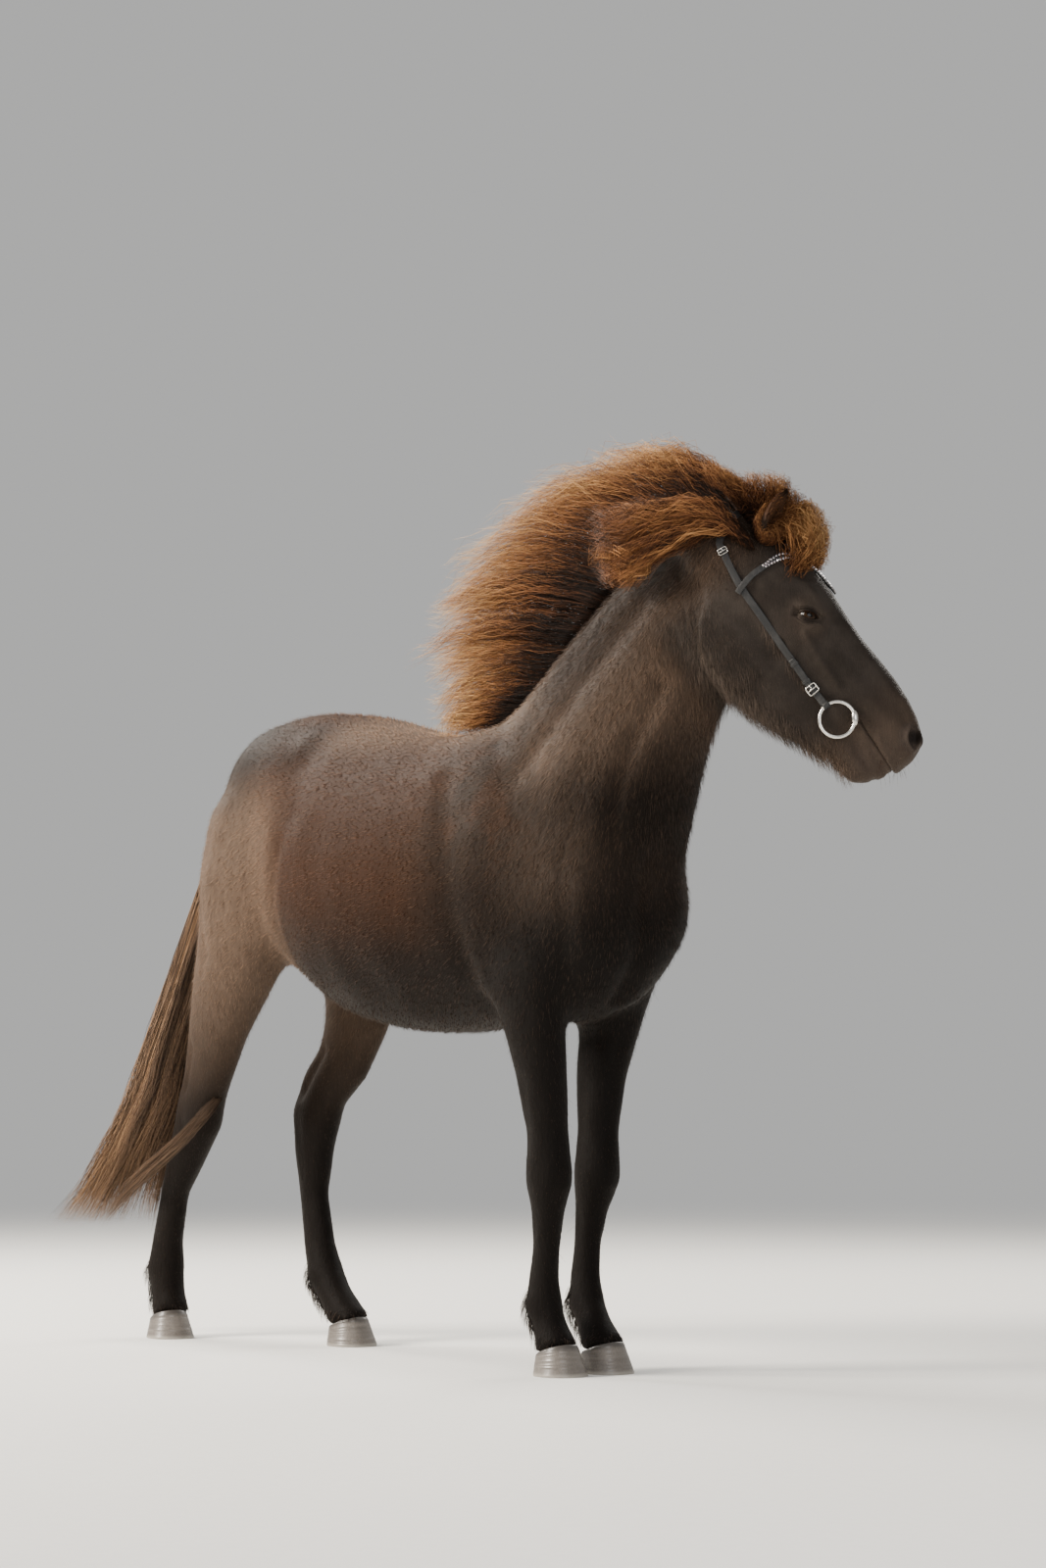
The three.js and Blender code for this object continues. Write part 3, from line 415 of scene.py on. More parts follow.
def keep_largest(bm):
    left = set(bm.verts)
    islands = []
    while left:
        front = [left.pop()]
        island = set(front)
        while front:
            reached = {edge.other_vert(vertex) for vertex in front for edge in vertex.link_edges}
            front = list(reached & left)
            left -= reached
            island.update(front)
        islands.append(island)
    islands.sort(key=len)
    bmesh.ops.delete(bm, geom=[v for island in islands[:-1] for v in island], context="VERTS")


# %% [markdown]
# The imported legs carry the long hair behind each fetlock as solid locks. The skin has none, so their points are
# tucked into the leg's own section first, and the hair comes back later as strands.

# %% Lower legs
LEG_ENDS = {
    # from over the fetlock to the coronet: x, y, z of the leg's middle, depth behind it, half width
    "front_left": [(-77, 71, 200, 42, 31), (-70, 67, 142, 50, 40), (-38, 61, 100, 38, 37), (-8, 58, 54, 46, 45)],
    "front_right": [(-38, -72, 200, 42, 31), (-42, -69, 142, 50, 40), (-26, -68, 100, 38, 37), (-6, -68, 54, 46, 45)],
    "hind_left": [
        (-1092, 94, 225, 48, 35), (-1070, 92, 160, 54, 43), (-1022, 88, 108, 42, 39), (-966, 85, 54, 46, 44),
    ],
    "hind_right": [
        (-1446, -97, 230, 48, 35), (-1456, -96, 160, 54, 43), (-1445, -99, 106, 42, 39), (-1426, -104, 54, 46, 44),
    ],
}


def leg_section(rows, heights):
    """The middle, the back edge and the half width of a lower leg at each height."""
    rows = np.array(rows, float)
    way = np.gradient(rows[:, [0, 2]], axis=0)
    way /= np.linalg.norm(way, axis=1, keepdims=True)
    back = rows[:, [0, 2]] + np.column_stack([way[:, 1], -way[:, 0]]) * rows[:, 3:4]
    middle = [np.interp(heights, rows[::-1, 2], rows[::-1, k]) for k in (0, 1, 4)]
    return middle[0], middle[1], np.interp(heights, back[::-1, 1], back[::-1, 0]), middle[2]


def tuck_in_feathers(bm):
    places = to_horse(points_of(bm))
    for rows in LEG_ENDS.values():
        mine = (np.abs(places[:, 1] - rows[1][1]) < 66) & (np.abs(places[:, 0] - rows[1][0]) < 130)
        mine &= (places[:, 2] > 20) & (places[:, 2] < rows[0][2] - 4)
        x, y, back, half = leg_section(rows, places[:, 2])
        behind, beside = (places[:, 0] - x) / (x - back), (places[:, 1] - y) / half
        size = np.hypot(behind, beside)
        out = mine & (size > 1.06) & (behind < -0.15)
        places[out, 0] = (x + (places[:, 0] - x) * 0.9 / size)[out]
        places[out, 1] = (y + (places[:, 1] - y) * 0.9 / size)[out]
    put_points(bm, from_horse(places))


print("lower legs", len(LEG_ENDS), "with", len(LEG_ENDS["hind_left"]), "sections each")


# %% Trunk and legs
BODY_VOXEL = 0.013
LEG_SMOOTH, TRUNK_SMOOTH = 4, 26  # rounds

legs = [f"leg_{end}_{side}" for end in ("front", "hind") for side, _ in SIDES]
body = remeshed(["torso", "neck", "head", *legs], BODY_VOXEL, 0.0005)
relaxed(body, LEG_SMOOTH)
relaxed(body, TRUNK_SMOOTH, ease(560, 880, to_horse(points_of(body))[:, 2]))
body_tree = BVHTree.FromBMesh(body)
print("trunk and legs", len(body.faces), "faces")

# %% Head and upper neck
HEAD_VOXEL = 0.0056
CUT_PLACE = spot(252, 29, 1476)  # the plane where the two meet, across the neck
CUT_WAY = Vector((0.79, 0.1, 0.6)).normalized()
MEETING = 0.09  # metres ahead of the plane over which the head takes the trunk's shape

head = remeshed(["neck", "head", "eye_left", "eye_right"], HEAD_VOXEL, 0.0014)
face_x = to_head(points_of(head))[:, 0]
relaxed(head, 6)
relaxed(head, 14, ease(520, 380, face_x))
relaxed(head, 50, ease(60, -60, face_x))
points = points_of(head)
ahead = (points - np.array(CUT_PLACE)) @ np.array(CUT_WAY)
follow = ease(MEETING, 0.01, ahead)
for i in np.flatnonzero((follow > 0) & (ahead > -0.03)):
    nearest = np.array(body_tree.find_nearest(points[i])[0])
    points[i] += (nearest - points[i]) * follow[i]
put_points(head, points)
print("head and upper neck", len(head.faces), "faces")


# %% [markdown]
# The two shells overlap. Each is cut at the same plane with two millimetres between them, so that neither has a
# face in the other, and a ring of bridging faces closes the gap.


# %% Cut and bridge
def halved(bm, keep_ahead):
    geometry = [*bm.verts, *bm.edges, *bm.faces]
    bmesh.ops.bisect_plane(
        bm, geom=geometry, dist=1e-6, plane_co=CUT_PLACE + CUT_WAY * (0.002 if keep_ahead else 0), plane_no=CUT_WAY,
        clear_inner=keep_ahead, clear_outer=not keep_ahead,
    )
    keep_largest(bm)


halved(body, False)
halved(head, True)
join = bpy.data.meshes.new("join")
head.to_mesh(join)
head.free()
body.from_mesh(join)
rims = [edge for edge in body.edges if edge.is_boundary]
bmesh.ops.bridge_loops(body, edges=rims)
bmesh.ops.recalc_face_normals(body, faces=body.faces)
skin = body
print("bridged", len(rims), "rim edges; open edges left:", sum(e.is_boundary for e in skin.edges))

# %% [markdown]
# The head is refined where the small forms are: lids, nostrils and lips need points a millimetre apart, the cheeks
# don't. The ears are remeshed finer still, so that their thin walls survive, let into the head and fused to it.

# %% Refine the face
NOSTRIL = Vector((562, 44, -13))
MOUTH_CORNER = Vector((464, 0, -80))
MOUTH_SLOPE = 0.11  # the line between the lips falls this much for each millimetre forwards


def refine(chosen):
    """Splits the faces whose middles the function picks, by head coordinates, in four."""
    middles = to_head(np.array([face.calc_center_median() for face in skin.faces]))
    skin.faces.ensure_lookup_table()
    edges = {edge for i in np.flatnonzero(chosen(middles)) for edge in skin.faces[i].edges}
    bmesh.ops.subdivide_edges(skin, edges=list(edges), cuts=1, use_grid_fill=True, smooth=0.2)


def off_centre(places, x, y, z):
    return np.hypot(np.hypot(places[:, 0] - x, np.abs(places[:, 1]) - y), places[:, 2] - z)


def lip_height(places):
    """Height over the line between the lips, in millimetres."""
    return places[:, 2] - MOUTH_CORNER.z + MOUTH_SLOPE * (places[:, 0] - MOUTH_CORNER.x)


def near_eye(places, reach):
    return (off_centre(places, *EYE) < reach) & (np.abs(places[:, 1]) > 60)


def near_nostril(places, reach):
    return off_centre(places, *NOSTRIL) < reach


def near_lips(places, reach):
    return (np.abs(lip_height(places)) < reach) & (places[:, 0] > MOUTH_CORNER.x - reach)


refine(lambda p: near_eye(p, 50) | near_nostril(p, 44) | near_lips(p, 26))
refine(lambda p: near_eye(p, 38) | near_nostril(p, 31) | near_lips(p, 7))
print("skin after refining", len(skin.faces), "faces")

# %% Ears
EAR_BASE = Vector((50, 56, 4))
EAR_AXIS = Vector((-0.44, 0.04, 0.9)).normalized()
EAR_LENGTH = 106
EAR_VOXEL = 0.0021
LET_IN = 11  # mm that an ear's root goes into the head


def ear_share(places):
    """How far along an ear each place lies, 0 at its base and 1 at its tip."""
    left = np.column_stack([places[:, 0], np.abs(places[:, 1]), places[:, 2]])
    return (left - np.array(EAR_BASE)) @ np.array(EAR_AXIS) / EAR_LENGTH


skin_piece = mesh_object("skin", skin)
for side, way in SIDES:
    ear = remeshed([f"ear_{side}"], EAR_VOXEL, 0.0003)
    points = points_of(ear)
    share = ear_share(to_head(points))
    root = ease(0.32, 0.05, share)
    axis = np.array(head_way(EAR_AXIS.x, way * EAR_AXIS.y, EAR_AXIS.z))
    put_points(ear, points - axis * (root * LET_IN * MM)[:, None])
    relaxed(ear, 2)
    piece = mesh_object(f"ear_{side}_joined", ear)
    modifier = skin_piece.modifiers.new("ear", "BOOLEAN")
    modifier.operation = "UNION"
    modifier.solver = "MANIFOLD"
    modifier.object = piece
skin = applied(skin_piece)
for side, _ in SIDES:
    bpy.data.objects.remove(bpy.data.objects[f"ear_{side}_joined"])
keep_largest(skin)
places = to_head(points_of(skin))
share = ear_share(places)
beside = off_centre(places, *(EAR_BASE + EAR_AXIS * 4))
relaxed(skin, 5, ease(44, 24, beside) * ease(0.35, 0.1, share))
print("skin with ears", len(skin.faces), "faces; open edges", sum(e.is_boundary for e in skin.edges))

# %% [markdown]
# Now the skin is clay. Grooves and swells are pushed along the normals, from a short list of muscles, bones and
# tendons that show through a horse's coat. Each is a line or a spot that lands on the nearest skin.


# %% Clay
class Clay:
    """The skin's points, pushed in and out along their normals in millimetres."""

    def __init__(self, bm):
        self.bm = bm
        bm.normal_update()
        self.tree = BVHTree.FromBMesh(bm)
        self.points = points_of(bm)
        self.normals = np.array([v.normal for v in bm.verts])
        self.push = np.zeros(len(self.points))

    def line_distance(self, line):
        line = [np.array(self.tree.find_nearest(place)[0]) for place in line]
        nearest = np.full(len(self.points), np.inf)
        for start, end in zip(line, line[1:] or line):
            way = end - start
            share = np.clip((self.points - start) @ way / max(way @ way, 1e-9), 0, 1)
            gap = np.linalg.norm(self.points - start - share[:, None] * way, axis=1)
            nearest = np.minimum(nearest, gap)
        return nearest / MM

    def groove(self, line, width, depth):
        """A valley along the line; a negative depth raises a ridge."""
        self.push -= depth * np.exp(-((self.line_distance(line) / width) ** 2))

    def swell(self, place, radius, height):
        landed = np.array(self.tree.find_nearest(place)[0])
        gap = np.linalg.norm(self.points - landed, axis=1) / MM
        self.push += height * np.exp(-((gap / radius) ** 2))

    def settle(self):
        put_points(self.bm, self.points + self.normals * (self.push * MM)[:, None])


# %% Muscles of the trunk and neck
TRUNK_FORMS = [
    # what it is, width, depth, places down the left side
    ("shoulder blade", 34, 6, [(-150, 110, 1330), (-60, 150, 1200), (60, 150, 1060)]),
    ("behind the shoulder", 30, 9, [(-250, 200, 1270), (-205, 230, 1150), (-185, 230, 1000), (-150, 220, 850)]),
    ("upper arm muscle", 62, -9, [(-110, 190, 1130), (-95, 190, 960)]),
    ("elbow", 30, -8, [(-120, 190, 880), (-105, 170, 830)]),
    ("breast middle", 26, 15, [(215, 0, 1080), (205, 0, 980), (170, 0, 860), (120, 0, 780)]),
    ("breast swell", 46, -7, [(185, 70, 1060), (190, 75, 960)]),
    ("breast edge", 22, 6, [(120, 150, 1080), (130, 130, 960), (90, 120, 850)]),
    ("flank hollow", 60, 12, [(-790, 190, 1300), (-760, 230, 1210)]),
    ("flank fold", 26, 10, [(-800, 250, 1130), (-845, 240, 1010), (-850, 200, 900)]),
    ("stifle", 60, -7, [(-900, 210, 960), (-905, 190, 900)]),
    ("hip bone", 42, -8, [(-800, 180, 1392)]),
    ("ham groove", 22, 9, [(-1080, 130, 1350), (-1130, 150, 1200), (-1130, 165, 1040), (-1105, 165, 900)]),
    ("outer ham", 34, -5, [(-1060, 190, 1230), (-1070, 200, 1060)]),
    ("back furrow", 30, 5, [(-980, 0, 1455), (-700, 0, 1440), (-420, 0, 1376)]),
    ("loin", 60, -4, [(-840, 90, 1440), (-560, 90, 1400)]),
    ("rib end line", 40, 4, [(-640, 270, 1150), (-560, 270, 960), (-420, 240, 800)]),
]
NECK_BEND = 0.16  # how far the neck turns left for each millimetre forwards
NECK_FORMS = [
    ("jaw groove", 26, 13, [(330, 118, 1430), (262, 130, 1300), (220, 130, 1180), (190, 110, 1110)]),
    ("neck muscle", 54, -8, [(300, 120, 1560), (170, 150, 1400), (90, 160, 1240)]),
    ("neck groove", 30, 8, [(250, 110, 1600), (80, 150, 1420), (-40, 160, 1280)]),
    ("crest muscle", 46, -5, [(260, 70, 1700), (100, 80, 1600), (-80, 90, 1460)]),
]
clay = Clay(skin)
for _, width, depth, places in TRUNK_FORMS:
    for _, way in SIDES:
        if way > 0 or any(y for _, y, _ in places):
            clay.groove([spot(x, y * way, z) for x, y, z in places], width, depth)
for _, width, depth, places in NECK_FORMS:
    for _, way in SIDES:
        bent = [spot(x, y * way + max(x, 0) * NECK_BEND, z) for x, y, z in places]
        clay.groove(bent, width, depth)
print(len(TRUNK_FORMS), "forms on the trunk and", len(NECK_FORMS), "on the neck")

# %% [markdown]
# Legs carry no muscle below the knee and hock: bone in front, tendons behind, with a groove between them. The
# joints are small boxes of bone, so they get a few low swells instead of one round knob.

# %% Legs
LEG_BONES = {
    # y of the leg's middle, then x and z of the knee or hock, the shin, its end, the fetlock and a hind leg's gaskin
    "front_left": (74, (-55, 408), (-66, 340), (-77, 200), (-70, 142)),
    "front_right": (-74, (-9, 408), (-16, 340), (-38, 200), (-42, 142)),
    "hind_left": (98, (-1118, 515), (-1124, 440), (-1092, 225), (-1070, 160), (-1000, 740)),
    "hind_right": (-101, (-1284, 520), (-1342, 440), (-1446, 230), (-1456, 160), (-1165, 745)),
}
for middle, (kx, kz), (sx, sz), (ex, ez), (fx, fz), *gaskin in LEG_BONES.values():
    for y in (middle - 45, middle + 45):
        clay.groove([spot(sx - 10, y, sz), spot(ex - 10, y, ez)], 6, 2.6)
        clay.groove([spot(sx - 24, y, sz - 30), spot(ex - 26, y, ez + 20)], 5, 1.6)
        clay.swell(spot(fx - 16, y, fz + 4), 17, 2.5)
        clay.groove([spot(fx + 34, y, fz - 14), spot(fx - 20, y, fz - 34)], 9, 2)
    if not gaskin:
        for rise, height in ((24, 3), (-14, 3.5)):
            clay.swell(spot(kx + 50, middle, kz + rise), 17, height)
        clay.groove([spot(kx + 48, middle - 30, kz + 4), spot(kx + 48, middle + 30, kz + 4)], 7, 2)
        clay.swell(spot(kx - 52, middle, kz + 18), 18, 5)
        for out in (-1, 1):
            clay.groove([spot(kx - 8, middle + out * 60, kz + 210), spot(kx - 18, middle + out * 50, kz + 60)], 16, 4)
    for gx, gz in gaskin:
        for y in (middle - 50, middle + 50):
            clay.groove([spot(gx - 80, y, gz - 60), spot(kx - 22, y, kz + 66)], 17, 10)
            clay.swell(spot(kx + 14, y, kz - 8), 22, 3)
            clay.groove([spot(kx - 30, y, kz + 20), spot(kx - 16, y, kz - 60)], 8, 3)
        clay.swell(spot(kx - 74, middle, kz + 34), 20, 6)
print("muscles and legs", round(float(np.abs(clay.push).max()), 1), "mm at most")

# %% [markdown]
# The head is the part that people look at first. The cheekbone's ridge, the hollow over the eye, the nasal bones,
# the round edge of the jaw and the chin come first, as more grooves and swells, in head coordinates.

# %% Bones of the head
HEAD_FORMS = [
    ("cheekbone ridge", 9, -4.5, [(262, 80, -58), (320, 70, -66), (384, 60, -70)]),
    ("under the cheekbone", 20, 4, [(290, 70, -90), (350, 62, -98), (410, 52, -100)]),
    ("hollow over the eye", 15, 6, [(150, 64, 12), (172, 66, 14)]),
    ("brow arch", 12, -4, [(182, 82, 10), (214, 88, 14), (244, 82, 2)]),
    ("jaw joint", 14, -4, [(112, 88, -66), (128, 88, -62)]),
    ("jaw edge", 14, -4, [(108, 74, -212), (168, 78, -246), (240, 70, -250)]),
    ("cheek muscle front", 12, 5, [(246, 76, -110), (268, 76, -150), (270, 72, -200), (262, 66, -236)]),
    ("nasal edge", 12, -3, [(300, 44, 18), (400, 40, 16), (480, 36, 12)]),
    ("beside the nose", 18, 4, [(330, 60, -14), (430, 52, -14), (500, 50, -10)]),
    ("over the nostril", 14, 4, [(500, 42, 4), (528, 48, -4)]),
    ("chin", 15, -5, [(528, 14, -166), (548, 10, -158)]),
    ("behind the chin", 14, 5, [(486, 22, -176), (490, 0, -182)]),
    ("upper lip", 10, -3, [(520, 50, -72), (560, 40, -78), (584, 10, -82)]),
    ("lower lip", 8, -2.5, [(520, 40, -104), (552, 32, -108), (574, 8, -112)]),
    ("under the lower lip", 8, 3, [(512, 40, -124), (548, 30, -126), (566, 6, -128)]),
    ("corner crease", 5, 2.5, [(452, 54, -62), (448, 54, -84), (456, 50, -104)]),
    ("corner crease behind", 4, 1.6, [(442, 55, -66), (438, 55, -88), (446, 52, -110)]),
]
for _, width, depth, places in HEAD_FORMS:
    for _, way in SIDES:
        clay.groove([on_head(x, way * y, z) for x, y, z in places], width, depth)
print(len(HEAD_FORMS), "forms on the head")


# %% [markdown]
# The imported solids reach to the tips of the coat, so the skin sinks by the depth of the hair that will stand on it:
# most on the neck and belly, least on the face and legs.

# %% Depth of the coat
def coat_depth(points):
    """How far the coat stands over the skin, in millimetres."""
    horse, face = to_horse(points), to_head(points)
    x, z = horse[:, 0], horse[:, 2]
    depth = 2.0 + 4.0 * ease(560, 900, z) + 2.5 * ease(-120, 120, x) * ease(1050, 1250, z)
    depth += 2.0 * ease(860, 760, z) * ease(560, 700, z)
    on_face = ease(40, 150, face[:, 0]) * ease(-300, -240, face[:, 2]) * (z > 1150)
    return depth * (1 - on_face) + 1.2 * on_face


clay.push -= coat_depth(clay.points)
clay.settle()

# %% [markdown]
# Lids, nostrils and the mouth need exact edges, so they are set by formula. An almond opens over the eyeball: inside
# it the skin drops behind the ball, round it a rim hugs the ball, and beyond lie the folds of the half-shut lids.

# %% Lids
BALL = 21  # mm, the eyeball's radius
LID = 2.6  # mm of lid over the ball
EYE_SLANT = math.radians(34)  # the eye's corners against the face's line
EYE_HALF = 21.5  # half the length of the opening
EYE_RISE, EYE_DIP = 6.4, 7.0  # how far the opening reaches over and under its line
LID_FOLDS = [
    # distance outside the opening, depth, width, upper or lower
    (5.5, 2.9, 1.6, 1),
    (11.0, 2.0, 1.9, 1),
    (5.5, 2.0, 1.5, -1),
    (10.0, 1.8, 1.6, -1),
    (15.5, 1.4, 1.8, -1),
]


def axes_of(out, along):
    """Unit vectors at right angles: out, and the way nearest to along."""
    out = np.array(out) / np.linalg.norm(out)
    along = np.array(along) - out * (along @ out)
    return out, along / np.linalg.norm(along)


def eye_axes(way):
    """Directions out of the eye, along its opening towards the nose, and up over it, in head coordinates."""
    out, along = axes_of([0.12, way * 0.97, 0.2], [math.cos(EYE_SLANT), 0, math.sin(EYE_SLANT)])
    return out, along, np.cross(out, along) * -way


def almond(u, v):
    """Distance outside the eye's opening, negative inside."""
    s = np.clip(np.abs(u) / EYE_HALF, 0, 1)
    upper = EYE_RISE * (1 - s**2.2) + 0.06 * u
    lower = -EYE_DIP * (1 - s**1.8) + 0.06 * u
    return np.maximum.reduce([v - upper, lower - v, (np.abs(u) - EYE_HALF) * 0.8])


def shape_lids(places, way):
    out, along, up = eye_axes(way)
    rel = places - np.array([EYE.x, way * EYE.y, EYE.z])
    u, v, w = rel @ along, rel @ up, rel @ out
    reach = np.hypot(u, v)
    edge = almond(u, v)
    shell = np.sqrt(np.maximum((BALL + LID) ** 2 - reach**2, 6))
    behind = np.sqrt(np.maximum(BALL**2 - reach**2, 4)) - 6
    hug = ease(13, 1.5, edge)
    target = w * (1 - hug) + np.maximum(shell, w - 9) * hug
    for distance, depth, width, half in LID_FOLDS:
        fold = np.exp(-(((edge - distance) / width) ** 2)) * ease(30, 18, np.abs(u))
        target -= depth * fold * (v * half > -1)
    opening = ease(0.7, -0.9, edge)
    target = target * (1 - opening) + np.minimum(target, behind) * opening
    near = ease(46, 34, reach) * (w > 2)
    return places + (out[None, :] * ((target - w) * near)[:, None])


# %% Nostrils and mouth
NOSTRIL_LONG, NOSTRIL_WIDE = 23, 13  # half lengths of the opening
NOSTRIL_DEEP = 19
LIP_PART = 4.5  # depth of the line between the lips


def shape_nostrils(places, way):
    out, along = axes_of([0.62, way * 0.74, 0.24], [-0.72, 0, 0.69])
    side = np.cross(out, along)
    rel = places - np.array([NOSTRIL.x, way * NOSTRIL.y, NOSTRIL.z])
    u, v, w = rel @ along, rel @ side * way, rel @ out
    bent = v - 0.012 * u**2 + 2
    radius = np.hypot(u / NOSTRIL_LONG, bent / NOSTRIL_WIDE)
    near = ease(45, 34, np.linalg.norm(rel, axis=1))
    rim = 2.6 * np.exp(-(((radius - 1.22) / 0.22) ** 2))
    drop = NOSTRIL_DEEP * ease(1.12, 0.62, radius)
    sink = out * 0.8 - np.array([0.6, 0, 0]) * 0.35
    return places + (out[None, :] * (rim * near)[:, None]) - (sink[None, :] * (drop * near)[:, None])


def shape_mouth(places, normals):
    height = lip_height(places)
    ahead = ease(MOUTH_CORNER.x - 4, MOUTH_CORNER.x + 6, places[:, 0])
    valley = LIP_PART * np.exp(-((height / 1.5) ** 2)) + 1.5 * np.exp(-((height / 5) ** 2))
    return places - normals * (valley * ahead)[:, None]


skin.normal_update()
places = to_head(points_of(skin))
turned = np.array([v.normal for v in skin.verts]) @ np.array(head_turn.to_3x3())
face = (places[:, 0] > 380) & (places[:, 0] < 640) & (np.abs(places[:, 1]) < 90) & (np.abs(places[:, 2]) < 220)
places[face] = shape_mouth(places[face], turned[face])
for _, way in SIDES:
    beside = (places[:, 1] * way > 0) & (off_centre(places, *EYE) < 60)
    places[beside] = shape_lids(places[beside], way)
    beside = (places[:, 1] * way > 0) & (off_centre(places, *NOSTRIL) < 60)
    places[beside] = shape_nostrils(places[beside], way)
put_points(skin, from_head(places))
skin_piece = smooth_piece("skin", skin)
skin_piece.data.calc_loop_triangles()
print("skin", len(skin_piece.data.loop_triangles), "triangles")

# %% [markdown]
# ## The coat's colour
# The horse is black-brown: near black on the legs and the head, warmer on the barrel and shoulder. Painted shade
# darkens the lower neck, the chest, the belly and the croup, and a painted sheen of grey, where light glances off
# the coat, pales the back, the thighs and the neck. One function works this out from the place on the horse. The
# skin and the tufts both call it, so their markings agree.

# %% Markings
BLACK = (0.0072, 0.0054, 0.0044)
DARK = (0.0105, 0.0072, 0.0053)
BROWN = (0.028, 0.0155, 0.0092)
RUST = (0.044, 0.0185, 0.0085)
# painted sheen: the pale grey of light glancing off the coat
SHEEN_GREY = (0.2, 0.135, 0.095)
TAN = (0.1, 0.068, 0.048)
PINK_GREY = (0.07, 0.055, 0.048)
FACE_DARK = (0.042, 0.033, 0.0265)
FACE_PALE = (0.07, 0.056, 0.046)
EAR_BROWN = (0.085, 0.038, 0.018)
# painted shade inside the nostrils
NOSTRIL_SHADE = (0.012, 0.009, 0.008)
print("darkest", BLACK, "and palest", SHEEN_GREY)

# %% [markdown]
# Each region is a share from 0 to 1 that ramps in over some centimetres, with its border broken up by noise.


# %% Where each colour lies
def coat_colour(finish):
    """The coat's base colour as a wire, from Object coordinates in metres."""
    place = finish.place()
    x, y, z = finish.axes(finish.moved(place, location=tuple(-v for v in ORIGIN)))
    face = finish.vector("SUBTRACT", place, tuple(HEAD.translation))
    face_x, face_y, face_z = (
        finish.vector("DOT_PRODUCT", face, tuple(row), out="Value") for row in head_turn.to_3x3().inverted()
    )
    lateral = abs(face_y)
    cloud = finish.noise(place, 2.6, 3.0, 0.6)
    mottle = finish.noise(place, 9.0, 4.0, 0.65)
    streak = finish.noise(finish.moved(place, scale=(88, 88, 14)), 1.0, 3.0, 0.6)
    broken = (cloud - 0.5) * 0.35 + (mottle - 0.5) * 0.5

    legs = (z + broken * 0.12 + x.ramp(-0.7, -0.9) * 0.15).ramp(0.88, 0.56)
    of_head = face_x.ramp(0.02, 0.12) * face_z.ramp(-0.33, -0.26) * z.ramp(1.1, 1.25)
    neck = (x + (z - 1.2) * 0.6).ramp(-0.12, 0.1) * (1 - legs) * (1 - of_head)
    before_thigh = x.ramp(-1.02, -0.86)
    barrel = before_thigh * x.ramp(-0.16, -0.34) * (z + broken * 0.2).ramp(0.74, 0.95)
    topline = (z + broken * 0.06 + x.ramp(0.0, -0.3) * 0.03).ramp(1.34, 1.43) * x.ramp(0.05, -0.25)
    crest = neck * (z - x * 0.75 + broken * 0.1).ramp(1.27, 1.44)
    shoulder = x.ramp(-0.42, -0.2) * x.ramp(0.14, -0.06) * (z + broken * 0.2).ramp(1.0, 1.12) * (1 - crest)

    # painted shade under the chest and the belly
    low_chest = x.ramp(-0.16, 0.0) * (z - x * 0.3).ramp(1.02, 0.86)
    belly = before_thigh * (z + broken * 0.1).ramp(1.08, 0.8) * (1 - legs)
    withers = topline * x.ramp(-0.8, -0.6)
    thigh = x.ramp(-0.76, -0.92) * (z + broken * 0.06).ramp(0.46, 0.98) * z.ramp(1.34, 1.16)
    side_neck = neck * (0.35 + cloud * 1.1) * (z - x * 0.3).ramp(1.1, 1.3) * (z - x * 0.75).ramp(1.46, 1.24)
    arm = x.ramp(-0.1, 0.04) * x.ramp(0.26, 0.14) * z.ramp(0.9, 1.04) * z.ramp(1.24, 1.1)
    # painted shade on the croup, just under the back
    croup = (z + broken * 0.1).ramp(1.28, 1.36) * x.ramp(-0.66, -0.8) * (1 - z.ramp(1.4, 1.43))
    # painted sheen: paler where light glances off the back, thighs, crest, neck, arm and shoulder
    pale = withers * 0.95 + thigh * 0.86 + crest * 0.08 + side_neck * 0.56 + arm * 0.2 + shoulder * cloud * 0.16
    colour = finish.layers(
        DARK,
        (cloud.ramp(0.35, 0.65) * 0.6, BROWN),
        (barrel * (0.55 + mottle * 0.5), RUST),
        (shoulder * mottle.ramp(0.45, 0.62) * 0.6, RUST),
        # painted shade on the lower neck, the chest, the belly and the croup
        (neck * z.ramp(1.36, 1.06) * 0.9, DARK),
        (low_chest * 0.95, BLACK),
        (belly * 0.9, BLACK),
        (croup * 0.5, BLACK),
        # the painted sheen laid over the coat, broken by streaks of hair
        (pale * (0.34 + streak * 0.62), SHEEN_GREY),
        (legs * 0.9, BLACK),
    )

    def face_spot(px, py, pz, low, high):
        """1 near a place on the face, on both sides, 0 beyond high."""
        gap = (face_x - px) ** 2 + (lateral - py) ** 2 + (face_z - pz) ** 2
        return gap.ramp(high**2, low**2)

    ear = face_z.ramp(0.012, 0.034) * lateral.ramp(0.024, 0.036) * face_x.ramp(0.125, 0.105) * z.ramp(1.6, 1.68)
    ear_tip = ear * (face_z - face_x * 0.2).ramp(0.066, 0.092)
    muzzle = face_x.ramp(0.4, 0.54) * of_head
    colour = finish.layers(
        colour,
        (of_head * 0.85, finish.mix(mottle.ramp(0.35, 0.65), FACE_DARK, FACE_PALE)),
        (ear * 0.8, EAR_BROWN),
        (ear_tip * 0.8, BLACK),
        (muzzle * (0.5 + mottle * 0.4), TAN),
        (face_spot(0.565, 0.0, -0.1, 0.03, 0.1) * 0.35, PINK_GREY),  # the lips
        (face_spot(0.24, 0.088, -0.036, 0.018, 0.062) * 0.24, TAN),  # the ring round the eye
        (face_spot(0.238, 0.088, -0.03, 0.01, 0.022) * 0.7, BLACK),  # the lids
        (face_spot(0.562, 0.044, -0.013, 0.024, 0.04) * 0.5, PINK_GREY),  # the nostril's rim
        # painted shade inside the nostril
        (face_spot(0.562, 0.044, -0.013, 0.009, 0.021) * 0.9, NOSTRIL_SHADE),
    )
    return colour, of_head


